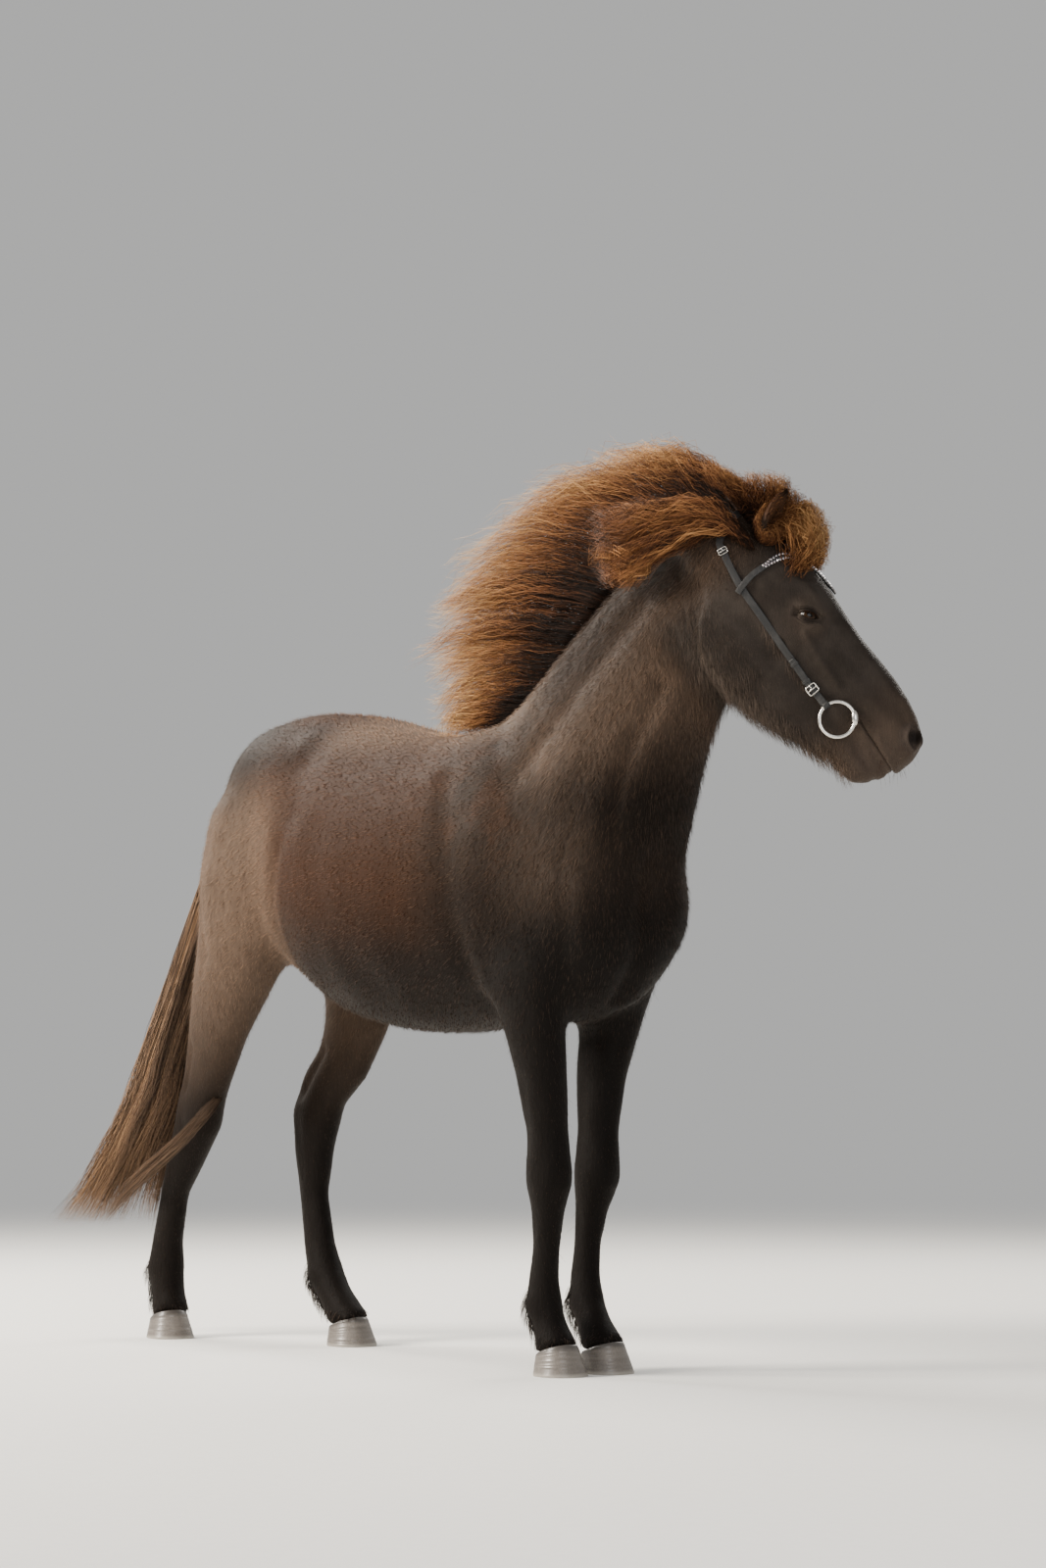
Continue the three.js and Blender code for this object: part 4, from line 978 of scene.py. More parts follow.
def hair_grain(finish, of_head):
    """The lie of short hair as a height: fine streaks down the body, finer still on the face."""
    place = finish.place()
    fine = finish.noise(finish.moved(place, turn=(0, 0.3, 0), scale=(520, 520, 90)), 1.0, 2.0, 0.6)
    coarse = finish.noise(finish.moved(place, turn=(0, 0.3, 0), scale=(190, 190, 34)), 1.0, 2.0, 0.6)
    return fine * 0.6 + coarse * (0.9 - of_head * 0.4)


# %% Skin finish
hide = Finish("horse_skin", 0.62, Specular_IOR_Level=0.06, Sheen_Weight=0.04, Sheen_Roughness=0.4)
hide.set("Sheen Tint", (0.75, 0.66, 0.6))
colour, head_mask = coat_colour(hide)
grain = hair_grain(hide, head_mask)
shaded = hide.mix(0.45, colour, (0, 0, 0))
hide.set("Base Color", hide.mix((grain - 0.75).ramp(-0.3, 0.4) * 0.5, shaded, colour))
hide.set("Normal", hide.bump(grain, 0.85, 0.0016))
hide.set("Roughness", 0.5 + grain * 0.18)
wear([skin_piece], hide)
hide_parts("torso", "neck", "head", "ear_left", "ear_right", *legs)
print("skin finish has", len(hide.tree.nodes), "nodes")

# %% [markdown]
# Hair is mesh: every strand a closed tube of three sides that ends in a point. `strands` takes the paths of all the
# strands of a piece at once. `shade` runs from black through auburn to pale gold, `tone` varies strand by strand.


# %% Strands
PATCH = 0.003  # of the chart, one strand's or tuft's own patch


def unit(vectors):
    return vectors / np.maximum(np.linalg.norm(vectors, axis=-1, keepdims=True), 1e-12)


def strands(name, paths, radii, shade, tone, chart, flat=1.0, wide=None):
    """paths (n, k, 3) in metres, radii and shade (n, k), tone (n,), chart (n, 2) where the roots lie."""
    count, rings = paths.shape[:2]
    way = unit(np.gradient(paths, axis=1))
    if wide is None:
        wide = np.cross(way, np.array([0.3, 0.5, 0.81]))
    first = unit(wide - way * np.sum(wide * way, axis=-1, keepdims=True))
    second = np.cross(way, first)
    angles = np.arange(3) * (2 * math.pi / 3)
    around = first[:, :, None] * np.cos(angles)[:, None] + second[:, :, None] * (np.sin(angles) * flat)[:, None]
    tubes = paths[:, :, None] + around * radii[:, :, None, None]
    per = 3 * (rings - 1) + 1
    places = np.concatenate([tubes[:, :-1].reshape(count, -1, 3), paths[:, -1:]], axis=1)

    quads, quad_charts = [], []
    for ring in range(rings - 2):
        for j in range(3):
            a, b = 3 * ring + j, 3 * ring + (j + 1) % 3
            quads += [a, b, b + 3, a + 3]
            low, high = ring / (rings - 1), (ring + 1) / (rings - 1)
            quad_charts += [(j / 3, low), ((j + 1) / 3, low), ((j + 1) / 3, high), (j / 3, high)]
    last = 3 * (rings - 2)
    triangles, triangle_charts = [2, 1, 0], [(0.1, 0), (0.5, 0.02), (0.9, 0)]
    for j in range(3):
        triangles += [last + j, last + (j + 1) % 3, last + 3]
        low = (rings - 2) / (rings - 1)
        triangle_charts += [(j / 3, low), ((j + 1) / 3, low), ((j + 0.5) / 3, 1)]
    corners = np.array(quads + triangles)
    charts = np.array(quad_charts + triangle_charts) - 0.5
    sizes = np.array([4] * (len(quads) // 4) + [3] * (len(triangles) // 3))

    mesh = bpy.data.meshes.new(name)
    mesh.vertices.add(count * per)
    mesh.vertices.foreach_set("co", places.ravel())
    loops = (corners[None] + np.arange(count)[:, None] * per).ravel()
    mesh.loops.add(len(loops))
    mesh.loops.foreach_set("vertex_index", loops.astype(np.int32))
    all_sizes = np.tile(sizes, count)
    mesh.polygons.add(len(all_sizes))
    starts = np.concatenate([[0], np.cumsum(all_sizes)[:-1]])
    mesh.polygons.foreach_set("loop_start", starts.astype(np.int32))
    mesh.polygons.foreach_set("use_smooth", np.ones(len(all_sizes), bool))
    mesh.update(calc_edges=True)
    baked = mesh.uv_layers.new(name="OFBake")
    flat_chart = (chart[:, None] + charts[None] * PATCH).reshape(-1, 2)
    baked.data.foreach_set("uv", flat_chart.ravel().astype(np.float32))
    for key, values in (("shade", shade), ("tone", np.repeat(tone[:, None], rings, 1))):
        by_ring = np.repeat(values[:, :-1], 3, axis=1)
        whole = np.concatenate([by_ring, values[:, -1:]], axis=1)
        mesh.attributes.new(key, "FLOAT", "POINT").data.foreach_set("value", whole.ravel().astype(np.float32))
    piece = bpy.data.objects.new(name, mesh)
    scene.collection.objects.link(piece)
    print(name, count, "strands,", count * ((rings - 2) * 6 + 4), "triangles")
    return piece


# %% Smooth curves
def between(p0, p1, p2, p3, f):
    """Places a share f of the way from p1 to p2, on the smooth curve through all four."""
    bend, twist = 2 * p0 - 5 * p1 + 4 * p2 - p3, 3 * p1 - p0 - 3 * p2 + p3
    return 0.5 * (2 * p1 + (p2 - p0) * f + bend * f**2 + twist * f**3)


def spline(rows, t):
    """Places on the smooth curve through the rows, for t from 0 to 1."""
    rows = np.asarray(rows, float)
    padded = np.vstack([2 * rows[0] - rows[1], rows, 2 * rows[-1] - rows[-2]])
    at = np.clip(t, 0, 1.1) * (len(rows) - 1)
    i = np.minimum(at.astype(int), len(rows) - 2)
    f = (at - i)[..., None]
    return between(*(padded[i + k] for k in range(4)), f)


# %% Locks of hair
class Locks:
    """Clumps that share a wave; each strand draws a clump and keeps its own place in it."""

    def __init__(self, seed, clumps, count, rings):
        self.draw = np.random.default_rng(seed)
        self.count = count
        self.pick = self.draw.integers(0, clumps, count)
        self.clumps = clumps
        self.s = np.linspace(0, 1, rings)[None, :]
        self.tone = self.draw.random(count)
        self.tint = self.tone[:, None] - 0.5

    def shared(self, low, high):
        return self.draw.uniform(low, high, self.clumps)[self.pick][:, None]

    def own(self, low, high):
        return self.draw.uniform(low, high, self.count)[:, None]

    def wave(self, size, length, total, power=0.8):
        """A crimp across the strand, shared by its clump: size and wave length in mm over the total length."""
        phase = self.shared(0, 2 * math.pi)
        turns = total / length * self.shared(0.85, 1.2)
        return size * self.shared(0.6, 1.3) * np.sin(2 * math.pi * turns * self.s + phase) * self.s**power

    def frizz(self, size, power=1.0):
        """Each strand's own unsteady wander, growing to its tip."""
        knots = self.draw.normal(0, 1, (self.count, 6))
        at = self.s[0] * 4.999
        i = at.astype(int)
        f = at - i
        f = f * f * (3 - 2 * f)
        return size * (knots[:, i] * (1 - f) + knots[:, np.minimum(i + 1, 5)] * f) * self.s**power

    def curl(self, path, wave, frizz):
        """Crimps and frizzes a path along all three axes; wave and frizz hold what those two take."""
        for axis in range(3):
            path[..., axis] += self.wave(*wave) + self.frizz(*frizz)

    def taper(self, thick, share):
        """The strand's radius in metres: thick at its root, thinner by a share at its tip."""
        return thick * (1 - share * self.s) * np.ones((self.count, 1))


# %% [markdown]
# The mane is rooted along the crest and blown back from the face. Its roots lie in shadow, the middle is auburn
# and the frayed tips are gold where the light comes through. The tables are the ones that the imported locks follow.

# %% Mane
MANE = [
    # root x, y, z; tip x, y, z; rise of the bend between them
    (-247, 0, 1396, -440, -10, 1388, 16),
    (-115, 3, 1470, -512, -15, 1440, 30),
    (5, 10, 1572, -548, -10, 1580, 40),
    (123, 24, 1672, -480, 0, 1690, 45),
    (243, 44, 1746, -340, 20, 1796, 46),
    (351, 66, 1788, -140, 45, 1890, 40),
    (440, 86, 1792, 100, 65, 1926, 34),
]
mane_table = np.array(MANE, float)


def mane_paths(locks, t, lane, reach):
    s = locks.s
    both = spline(mane_table, t)
    root, tip, rise = both[..., :3], both[..., 3:6], both[..., 6]
    sweep = np.sin(np.minimum(1, s * reach * 1.3) * 1.5)
    along = (s * reach)[..., None]
    path = root * (1 - along) + tip * along
    path[..., 2] += rise * np.sin(np.pi * np.minimum(1, s * reach)) * 1.2
    path[..., 1] += lane * 40 * sweep + lane * 24 * (1 - sweep)
    path[..., 2] += -np.abs(lane) * 30 * sweep - np.abs(lane) ** 2 * 14 * (1 - sweep)
    return path


print("mane table of", len(MANE), "stations")

# %% [markdown]
# Each strand takes a root, a lane across the crest and a reach from its lock, and a little of its own. Waves,
# crimps and frizz then bend it, stronger near the poll, and one strand in eight flies off.

# %% Strands of the mane
locks = Locks(11, 260, 5850, 12)
t_root = np.clip(locks.shared(-0.02, 1.02) + locks.own(-0.02, 0.02), 0, 1)
lane = np.clip(locks.shared(-1, 1) + locks.own(-0.2, 0.2), -1.15, 1.15)
reach = np.clip(locks.shared(0.7, 1.04) * locks.own(0.86, 1.05), 0.3, 1.08)
length = np.linalg.norm(spline(mane_table, t_root)[..., :3] - spline(mane_table, t_root)[..., 3:6], axis=-1)
path = mane_paths(locks, t_root, lane, reach)
full = ease(0.3, 0.6, t_root) * (1 - 0.2 * ease(0.86, 1.0, t_root))
height = locks.own(0, 1)
path[..., 2] += full * (8 + 46 * height) * np.sin(np.minimum(1, locks.s * reach) * 1.7)
away = locks.own(-13, 13)
path[..., 2] += locks.wave(10, 130, length) + locks.frizz(6) + away * np.sin(np.pi * locks.s**0.7)
path[..., 1] += locks.wave(8, 110, length) + locks.frizz(6)
path[..., 0] += locks.wave(6, 120, length) + locks.frizz(5)
for axis, size in ((0, 2.6), (1, 3.2), (2, 3.4)):
    crimp = locks.own(0, 2 * math.pi) + 2 * math.pi * length / locks.shared(52, 84) * locks.s
    path[..., axis] += size * np.sin(crimp) * locks.s**0.5
path[..., 2] += locks.shared(-20, 14) * locks.s + locks.own(-7, 7) * locks.s
curly = ease(0.4, 0.75, t_root)  # the hair near the poll curls more
for axis in range(3):
    path[..., axis] += curly * (locks.wave(8, 62, length, 0.5) + locks.frizz(7, 0.5))
fly = (locks.draw.random(locks.count) < 0.12)[:, None]
path[..., 2] += fly * locks.own(-16, 30) * locks.s**1.5
print("strands of the mane", len(path), "from", len(t_root), "roots")

# %% [markdown]
# The shade runs from 0, nearly black, to 1, gold. It rises along the strand, and the lower strands on the far
# side stay darker near their roots, a painted shadow under the mane. The strands are shared out over three pieces.

# %% Shades of the mane
out_of_root = ease(0.1, 0.4, locks.s)
shade = 0.03 + 0.66 * ease(0.06, 0.75, locks.s * reach) + 0.16 * ease(0.78, 1.0, locks.s * reach)
shade += 0.2 * ease(0.4, 0.05, t_root) * out_of_root
shade += 0.26 * full * (height - 0.5) * out_of_root
# painted shadow: the strands of one side are darker towards their roots
shade += locks.tint * 0.44 - 0.1 * ease(0.2, 1.0, -lane) * (1 - locks.s)
shade += locks.shared(-0.15, 0.15)
chart = np.column_stack([0.02 + 0.96 * t_root[:, 0], 0.5 + 0.2 * lane[:, 0]])


def in_parts(names, path, radius, shade, tone, chart):
    """The strands as several pieces of the same size, so that none has too many triangles."""
    size = len(path) // len(names)
    parts = [slice(k * size, (k + 1) * size) for k in range(len(names))]
    return [strands(name, path[p], radius[p], shade[p], tone[p], chart[p]) for name, p in zip(names, parts)]


mane_names = ("mane_front", "mane_middle", "mane_back")
mane_pieces = in_parts(mane_names, from_horse(path), locks.taper(0.0006, 0.6), shade, locks.tone, chart)

# %% [markdown]
# Wavy locks leave the poll behind the near ear and pass back over the headpiece, and shorter ones curl at the
# crest. Each lock follows its own guide, wide at its middle and tapering to a loose end.


# %% Guides of single locks
def through(knots, along):
    """Places on each strand's own smooth curve: knots (n, k, 3), along (n, rings) from 0 to 1."""
    last = knots.shape[1] - 1
    at = np.clip(along, 0, 1) * last
    i = np.minimum(at.astype(int), last - 1)
    f = (at - i)[..., None]
    line = np.arange(len(knots))[:, None]
    padded = np.concatenate([2 * knots[:, :1] - knots[:, 1:2], knots, 2 * knots[:, -1:] - knots[:, -2:-1]], axis=1)
    return between(*(padded[line, i + k] for k in range(4)), f)


def columns(*rows):
    """Knots (n, k, 3) from rows of three columns (n, 1)."""
    shape = rows[0][0].shape
    return np.stack([np.stack([np.broadcast_to(v, shape)[:, 0] for v in row], axis=-1) for row in rows], axis=1)


# %% [markdown]
# Some locks start lower, at the crest, and pass under the long ones. Their ends come loose and spread.

# %% Near-side locks
locks = Locks(5, 64, 1600, 12)
high = locks.shared(0, 1)
high = np.where(high < 0.45, high * 0.75, 0.55 + (high - 0.45) * 0.82)
out = locks.shared(-10, 12)
low_lock = high < 0.45
swing = locks.shared(-30, 30)
begin = np.where(low_lock & (locks.shared(0, 1) > 0.35), 0.42, 0)
lift = np.where(low_lock, 0, (high - 0.55) / 0.45)
knots = columns(
    (514 - 14 * lift - out * 0.7, 33 - 6 * lift + out * 0.7, 1699 + 30 * lift),
    (500 - 18 * lift - out * 0.7, 8 - 3 * lift + out * 0.7, 1726 + 32 * lift),
    (452 - 14 * high - out * 0.4, -30 + out * 0.9, 1742 + 56 * high + swing * 0.4),
    (372 - 20 * high, -78 + out, 1712 + 84 * high + swing * 0.6),
    (292 - 20 * high, -100 + out, 1664 + 126 * high + swing * 0.8),
    (218 - 20 * high, -102 + out, 1670 + 112 * high + swing),
    (152 - 30 * high, -90 + out, 1698 + 84 * high + swing * 1.4),
)
side_path = through(knots, begin + (1 - begin) * locks.s * locks.shared(0.5, 1.0) * locks.own(0.86, 1.03))
body = np.sin(np.pi * np.clip(locks.s * 0.8 + 0.08, 0, 1))
for axis, size, length_of_wave in ((0, 9, 96), (1, 8, 88), (2, 15, 104)):
    side_path[..., axis] += locks.wave(size, length_of_wave, 430, 0.5) + locks.frizz(5.5, 0.6)
    side_path[..., axis] += locks.own(-6, 6) * body
loose = ease(0.6, 1.0, locks.s)
side_path[..., 0] += locks.own(-16, 12) * loose
side_path[..., 1] += locks.own(-9, 9) * loose
side_path[..., 2] += locks.own(-20, 20) * loose
shade = 0.06 + 0.46 * ease(0.1, 0.55, locks.s) - 0.2 * loose + locks.tint * 0.4
shade += locks.shared(-0.2, 0.16) * body
chart = np.column_stack([0.1 + 0.8 * high[:, 0], 0.5 + out[:, 0] / 60])
mane_side = strands("mane_side", from_horse(side_path), locks.taper(0.0006, 0.5), shade, locks.tone, chart)

# %% [markdown]
# Between the ears the hair stands as a crown of frizz and falls over the forehead as a short, tight forelock. Each
# strand rises from the scalp to a place under the crown's outline, curling on its way.


# %% Crown and forelock
CROWN = np.array([
    # the outline from the poll to the forehead: x in the head's frame, height over the scalp
    (-150, 10), (-85, 36), (-60, 84), (-31, 108), (10, 114), (43, 116),
    (61, 124), (89, 121), (126, 102), (145, 82), (166, 40),
])


def crown_top(x):
    return np.interp(x, CROWN[:, 0], CROWN[:, 1])


locks = Locks(7, 300, 2350, 9)
across = locks.shared(-1, 1) + locks.own(-0.2, 0.2)
goal = locks.shared(-150, 62) + locks.own(-9, 9)
deep = locks.shared(0, 1) ** 1.6
top = crown_top(goal) * (1 - 0.55 * deep) - 20 * across**2
start = np.clip(goal * 0.45, -70, 34)
knots = columns(
    (start, across * 34, -6 - 5 * across**2),
    (start * 0.9 + 8, across * 44, top * 0.55),
    (goal * 0.8, across * 52, top * 0.92),
    (goal - 12, across * 58 + locks.shared(-14, 14), top + locks.shared(-10, 0)),
)
puff = through(knots, locks.s * locks.own(0.8, 1.04))
locks.curl(puff, (6, 36, 120, 0.5), (8, 0.6))
# painted shade: strands deep inside the crown are darker
shade = 0.06 + 0.7 * locks.s**1.3 * (1 - 0.6 * deep) + locks.tint * 0.32 + locks.shared(-0.06, 0.06)
chart = np.column_stack([0.5 + across[:, 0] * 0.4, 0.1 + 0.8 * (goal[:, 0] + 150) / 212])
poll_puff = strands("mane_poll", from_head(puff), locks.taper(0.00058, 0.55), shade, locks.tone, chart)

locks = Locks(23, 220, 2700, 11)
across = locks.shared(-1, 1) + locks.own(-0.14, 0.14)
goal = locks.shared(46, 146)
deep = locks.shared(0, 1) ** 1.2
top = crown_top(goal) * (1 - 0.55 * deep) - 26 * across**2
fall = locks.shared(0.35, 1.0)
tip_q = np.where(across < 0, -22 - 26 * across**2, 6 - 40 * across**2) + locks.shared(-6, 26)
knots = columns(
    (20 + 22 * locks.shared(0, 1), across * 30, -6),
    (26 + goal * 0.25, across * 46, top * 0.7),
    (goal, across * 62, top),
    (goal * 0.4 + 96, across * 72 + locks.shared(-8, 8), top * 0.55 + tip_q * 0.4),
    (goal * 0.3 + 112 + 16 * deep, across * 68 + locks.shared(-8, 8), tip_q),
)
along = locks.s * (0.5 + 0.5 * fall) * locks.own(0.88, 1.03)
fore = through(knots, along)
locks.curl(fore, (7, 40, 230, 0.4), (9, 0.5))
# painted shade: strands deep inside the forelock are darker
shade = 0.26 + 0.6 * np.exp(-(((along - 0.5) / 0.26) ** 2)) * (1 - 0.75 * deep) + locks.shared(-0.07, 0.07)
shade += locks.tint * 0.32
chart = np.column_stack([0.5 + across[:, 0] * 0.4, 0.1 + 0.8 * (goal[:, 0] - 46) / 100])
forelock = strands("forelock_hair", from_head(fore), locks.taper(0.00058, 0.5), shade, locks.tone, chart)

# %% [markdown]
# A ruff of shorter hair grows round each ear and hides most of it. It stands tallest on the inner side, where it
# runs into the crown, and is hardly there on the outer side.

# %% Ruff round the ears
locks = Locks(31, 70, 900, 8)
way = np.where(locks.own(0, 1) < 0.6, -1, 1)
turn = locks.shared(0, 2 * math.pi) + locks.own(-0.1, 0.1)
outer = np.clip(np.sin(turn), 0, 1)
tall = locks.shared(34, 84) * (1 - 0.86 * outer)
knots = columns(
    (46 + 25 * np.cos(turn), way * (58 + 20 * np.sin(turn)), -5 - 12 * outer),
    (42 + 33 * np.cos(turn), way * (58 + 27 * np.sin(turn)), tall * 0.5 - 8 * outer),
    (28 + 32 * np.cos(turn), way * (56 + 27 * np.sin(turn)), tall),
)
ruff = through(knots, locks.s * locks.own(0.75, 1.05))
locks.curl(ruff, (4, 38, 70, 0.6), (5, 0.8))
shade = 0.08 + 0.5 * locks.s + locks.tint * 0.34 + locks.shared(-0.08, 0.08)
chart = np.column_stack([0.5 + way[:, 0] * (0.25 + 0.2 * np.cos(turn[:, 0])), 0.5 + 0.4 * np.sin(turn[:, 0])])
ear_ruff = strands("ear_ruff", from_head(ruff), locks.taper(0.00055, 0.55), shade, locks.tone, chart)

# %% [markdown]
# The tail streams back and to the right from a bony dock. Most strands stay in the stream, which fans out at its
# end; some leave it and cross the right hock or hang beside it.

# %% Tail
TAIL = [
    # x, y, z, half width across the view, half depth
    (-1120, 0, 1302, 30, 26),
    (-1206, -12, 1286, 38, 32),
    (-1278, -30, 1196, 40, 36),
    (-1318, -50, 1064, 47, 40),
    (-1358, -80, 890, 56, 46),
    (-1428, -108, 670, 68, 50),
    (-1466, -125, 555, 74, 50),
    (-1535, -140, 430, 84, 48),
    (-1660, -154, 262, 122, 52),
]
TAIL_ACROSS, TAIL_DEPTH = np.array([0.62, 0.78, 0]), np.array([-0.78, 0.62, 0])
locks = Locks(37, 110, 3400, 11)
turn = locks.shared(0, 2 * math.pi)
spread = np.sqrt(locks.shared(0, 1))
begin = locks.shared(0, 0.34) + locks.own(-0.02, 0.02)
finish_at = locks.shared(0.86, 1.04) * locks.own(0.93, 1.03)
t_tail = np.clip(begin + (finish_at - begin) * locks.s, 0, 1.0)
rows = spline(np.array(TAIL, float), t_tail)
fan = 0.72 + 0.26 * ease(0, 0.5, locks.s)
a = np.cos(turn) * spread * fan + locks.own(-0.14, 0.14)
b = np.sin(turn) * spread * fan + locks.own(-0.14, 0.14)
tail_path = rows[..., :3] + TAIL_ACROSS * (a * rows[..., 3])[..., None] + TAIL_DEPTH * (b * rows[..., 4])[..., None]
wave = locks.wave(9, 260, 1100, 1.0) + locks.frizz(7, 1.4)
tail_path += TAIL_ACROSS * wave[..., None]
tail_path[..., 2] += locks.frizz(6, 1.2)
# painted highlight: the strands along the tail's edge towards the lamps are paler
shade = 0.36 + 0.18 * ease(0.7, 1, locks.s) + locks.tint * 0.6 + 0.14 * (a < -0.45)
shade += locks.shared(-0.14, 0.14)
chart = 0.5 + 0.4 * spread * np.column_stack([np.cos(turn[:, 0]), np.sin(turn[:, 0])])
tail_pieces = in_parts(
    ("tail_near", "tail_far"), from_horse(tail_path), locks.taper(0.0007, 0.55), shade, locks.tone, chart
)

# %% [markdown]
# Three locks leave the stream: one swings round and crosses the right hock, and two hang beside it.

# %% Stray locks of the tail
STRAYS = {
    # places down the lock
    "round": [
        (-1345, -84, 880), (-1296, -44, 750), (-1254, -54, 655), (-1208, -100, 584), (-1210, -164, 522),
        (-1280, -182, 462), (-1400, -188, 396), (-1530, -180, 330), (-1650, -168, 262),
    ],
    "near": [(-1350, -70, 880), (-1392, -74, 690), (-1432, -80, 520), (-1486, -92, 380), (-1520, -104, 262)],
    "far": [(-1352, -50, 860), (-1380, -36, 680), (-1420, -30, 520), (-1470, -40, 380), (-1490, -60, 240)],
}
for number, (name, places) in enumerate(STRAYS.items()):
    locks = Locks(60 + number, 9, 240 if name == "round" else 120, 14)
    path = spline(np.array(places, float), locks.s * locks.own(0.8, 1.0))
    wide = ease(0.3, 0.62, locks.s) if name == "round" else 0.4 + 0.6 * locks.s
    path[..., 2] += (locks.shared(-16, 12) + locks.own(-5, 5)) * wide + locks.frizz(5, 1.5)
    for axis in (0, 1):
        path[..., axis] += (locks.shared(-5, 5) + locks.own(-3, 3)) * wide + locks.frizz(4, 1.5)
    shade = 0.12 + 0.4 * locks.s + locks.tint * 0.3
    chart = np.column_stack([locks.draw.uniform(0.1, 0.9, locks.count), locks.draw.uniform(0.1, 0.9, locks.count)])
    stray = strands(f"tail_stray_{name}", from_horse(path), locks.taper(0.00065, 0.5), shade, locks.tone, chart)
    tail_pieces.append(stray)

# %% [markdown]
# Sun and weather bleach hair from its tip, and every strand differs. So the colour comes from the strand's own
# `shade` through a row of colour stops: near-black roots that are painted shadow, and gold tips that are partly
# bleached and partly painted light where the light comes through. Its `tone` darkens some strands. The tail is
# greyer than the mane.


# %% Hair finish
def hair_material(name, *stops):
    """Painted shadow at the roots, bleach and painted light at the tips, each strand in its own tone, finely grained.
    """
    finish = Finish(name, 0.6, Specular_IOR_Level=0.06)
    tone = finish.attribute("tone")
    fine = finish.noise(finish.place(), 260, 2, 0.6)
    colour = finish.stops(finish.attribute("shade") + (fine - 0.5) * 0.12, *stops)
    finish.set("Base Color", finish.mix(tone.ramp(0.75, 0.0) * 0.5, colour, (0.01, 0.006, 0.004)))
    finish.set("Roughness", 0.5 + fine * 0.2)
    return finish


hair_finish = hair_material(
    "mane_hair",
    (0.0, (0.006, 0.004, 0.003)), (0.2, (0.032, 0.0135, 0.007)), (0.42, (0.165, 0.065, 0.026)),
    (0.68, (0.36, 0.168, 0.064)), (1.0, (0.6, 0.36, 0.15)),
)
tail_finish = hair_material(
    "tail_hair",
    (0.0, (0.006, 0.0045, 0.0035)), (0.22, (0.036, 0.024, 0.017)), (0.45, (0.128, 0.084, 0.057)),
    (0.7, (0.25, 0.15, 0.088)), (1.0, (0.4, 0.24, 0.13)),
)
wear([*mane_pieces, mane_side, poll_puff, ear_ruff, forelock], hair_finish)
wear(tail_pieces, tail_finish)
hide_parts("mane")
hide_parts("forelock")
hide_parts("tail")
print("hair of mane and tail in", len(mane_pieces) + 4 + len(tail_pieces), "pieces")

# %% [markdown]
# ## The coat
# A summer coat is short, but it still breaks the outline and catches the light. Each tuft is a flat blade of a few
# faces, rooted under the skin and lying along the coat. The roots are drawn evenly over the skin's triangles, and
# length, width and lie come from the place: down the neck, back along the barrel, forwards over the face.


# %% Where tufts grow
def threes(parts, key, kind=np.float64):
    """A value of three numbers of every part of a mesh, as rows."""
    values = np.empty(len(parts) * 3, kind)
    parts.foreach_get(key, values)
    return values.reshape(-1, 3)


skin_mesh = skin_piece.data
skin_mesh.calc_loop_triangles()
skin_points = threes(skin_mesh.vertices, "co")
skin_normals = threes(skin_mesh.vertices, "normal")
triangles = threes(skin_mesh.loop_triangles, "vertices", np.int32)
corners = skin_points[triangles]
areas = np.linalg.norm(np.cross(corners[:, 1] - corners[:, 0], corners[:, 2] - corners[:, 0]), axis=1) / 2
middles = corners.mean(1)
middle_face, middle_horse = to_head(middles), to_horse(middles)


# %% Lie and length of the tufts
def face_mask(face, horse, start=40, end=110):
    return ease(start, end, face[:, 0]) * (face[:, 2] > -330) * (horse[:, 2] > 1150)


def lie_of(points, normals):
    """Unit vectors along the coat."""
    horse, face = to_horse(points), to_head(points)
    x, y, z = horse.T
    trunk = np.array([-0.85, 0, -0.5])
    neck = np.array([-0.3, 0, -0.95])
    down = np.array([-0.12, 0, -1.0])
    ahead = ease(-260, 60, x)[:, None]
    lie = trunk * (1 - ahead) + neck * ahead
    rump = ease(-900, -1080, x)[:, None]
    lie = lie * (1 - rump) + np.array([-0.35, 0, -0.94]) * rump
    low = ease(900, 700, z)[:, None] * (np.abs(y) > 40)[:, None]
    lie = lie * (1 - low) + down * low
    lie[:, 1] += 0.25 * np.sign(y) * ease(1250, 1400, z) * ease(0, -300, x)
    on = face_mask(face, horse)[:, None]
    nose = np.array(head_way(0.86, 0, -0.5))
    lie = lie * (1 - on) + nose * on
    lie = lie - normals * np.sum(lie * normals, axis=1, keepdims=True)
    return unit(lie)


def tuft_size(points):
    """Length and height over the skin in millimetres, by place."""
    horse, face = to_horse(points), to_head(points)
    x, y, z = horse.T
    length = 9 + 7 * ease(620, 900, z) + 7 * ease(-150, 100, x) * ease(1000, 1150, z)
    length += 6 * ease(860, 760, z) * ease(640, 720, z) * (np.abs(y) < 200)
    length -= 3 * ease(1330, 1400, z) * ease(0, -250, x)
    on = face_mask(face, horse, 20, 120)
    ahead, _, up = face.T
    cheek = ease(330, 200, ahead) * ease(-120, -210, up)
    chin = ease(-120, -165, up) * ease(555, 470, ahead) * ease(380, 440, ahead)
    under = np.maximum(ease(-150, -230, up) * ease(520, 440, ahead), chin)
    on_face = 5.5 + 6 * cheek + 22 * under
    eye = ease(50, 28, off_centre(face, EYE.x, EYE.y + 12, EYE.z))
    on_face = on_face * (1 - 0.45 * eye)
    length = length * (1 - on) + on_face * on
    bridge = ease(-70, -20, up)
    stand = coat_depth(points) * 1.25 * (1 - on) + on * (1.5 - 0.9 * bridge + 1.2 * cheek + 6 * under)
    return length, stand


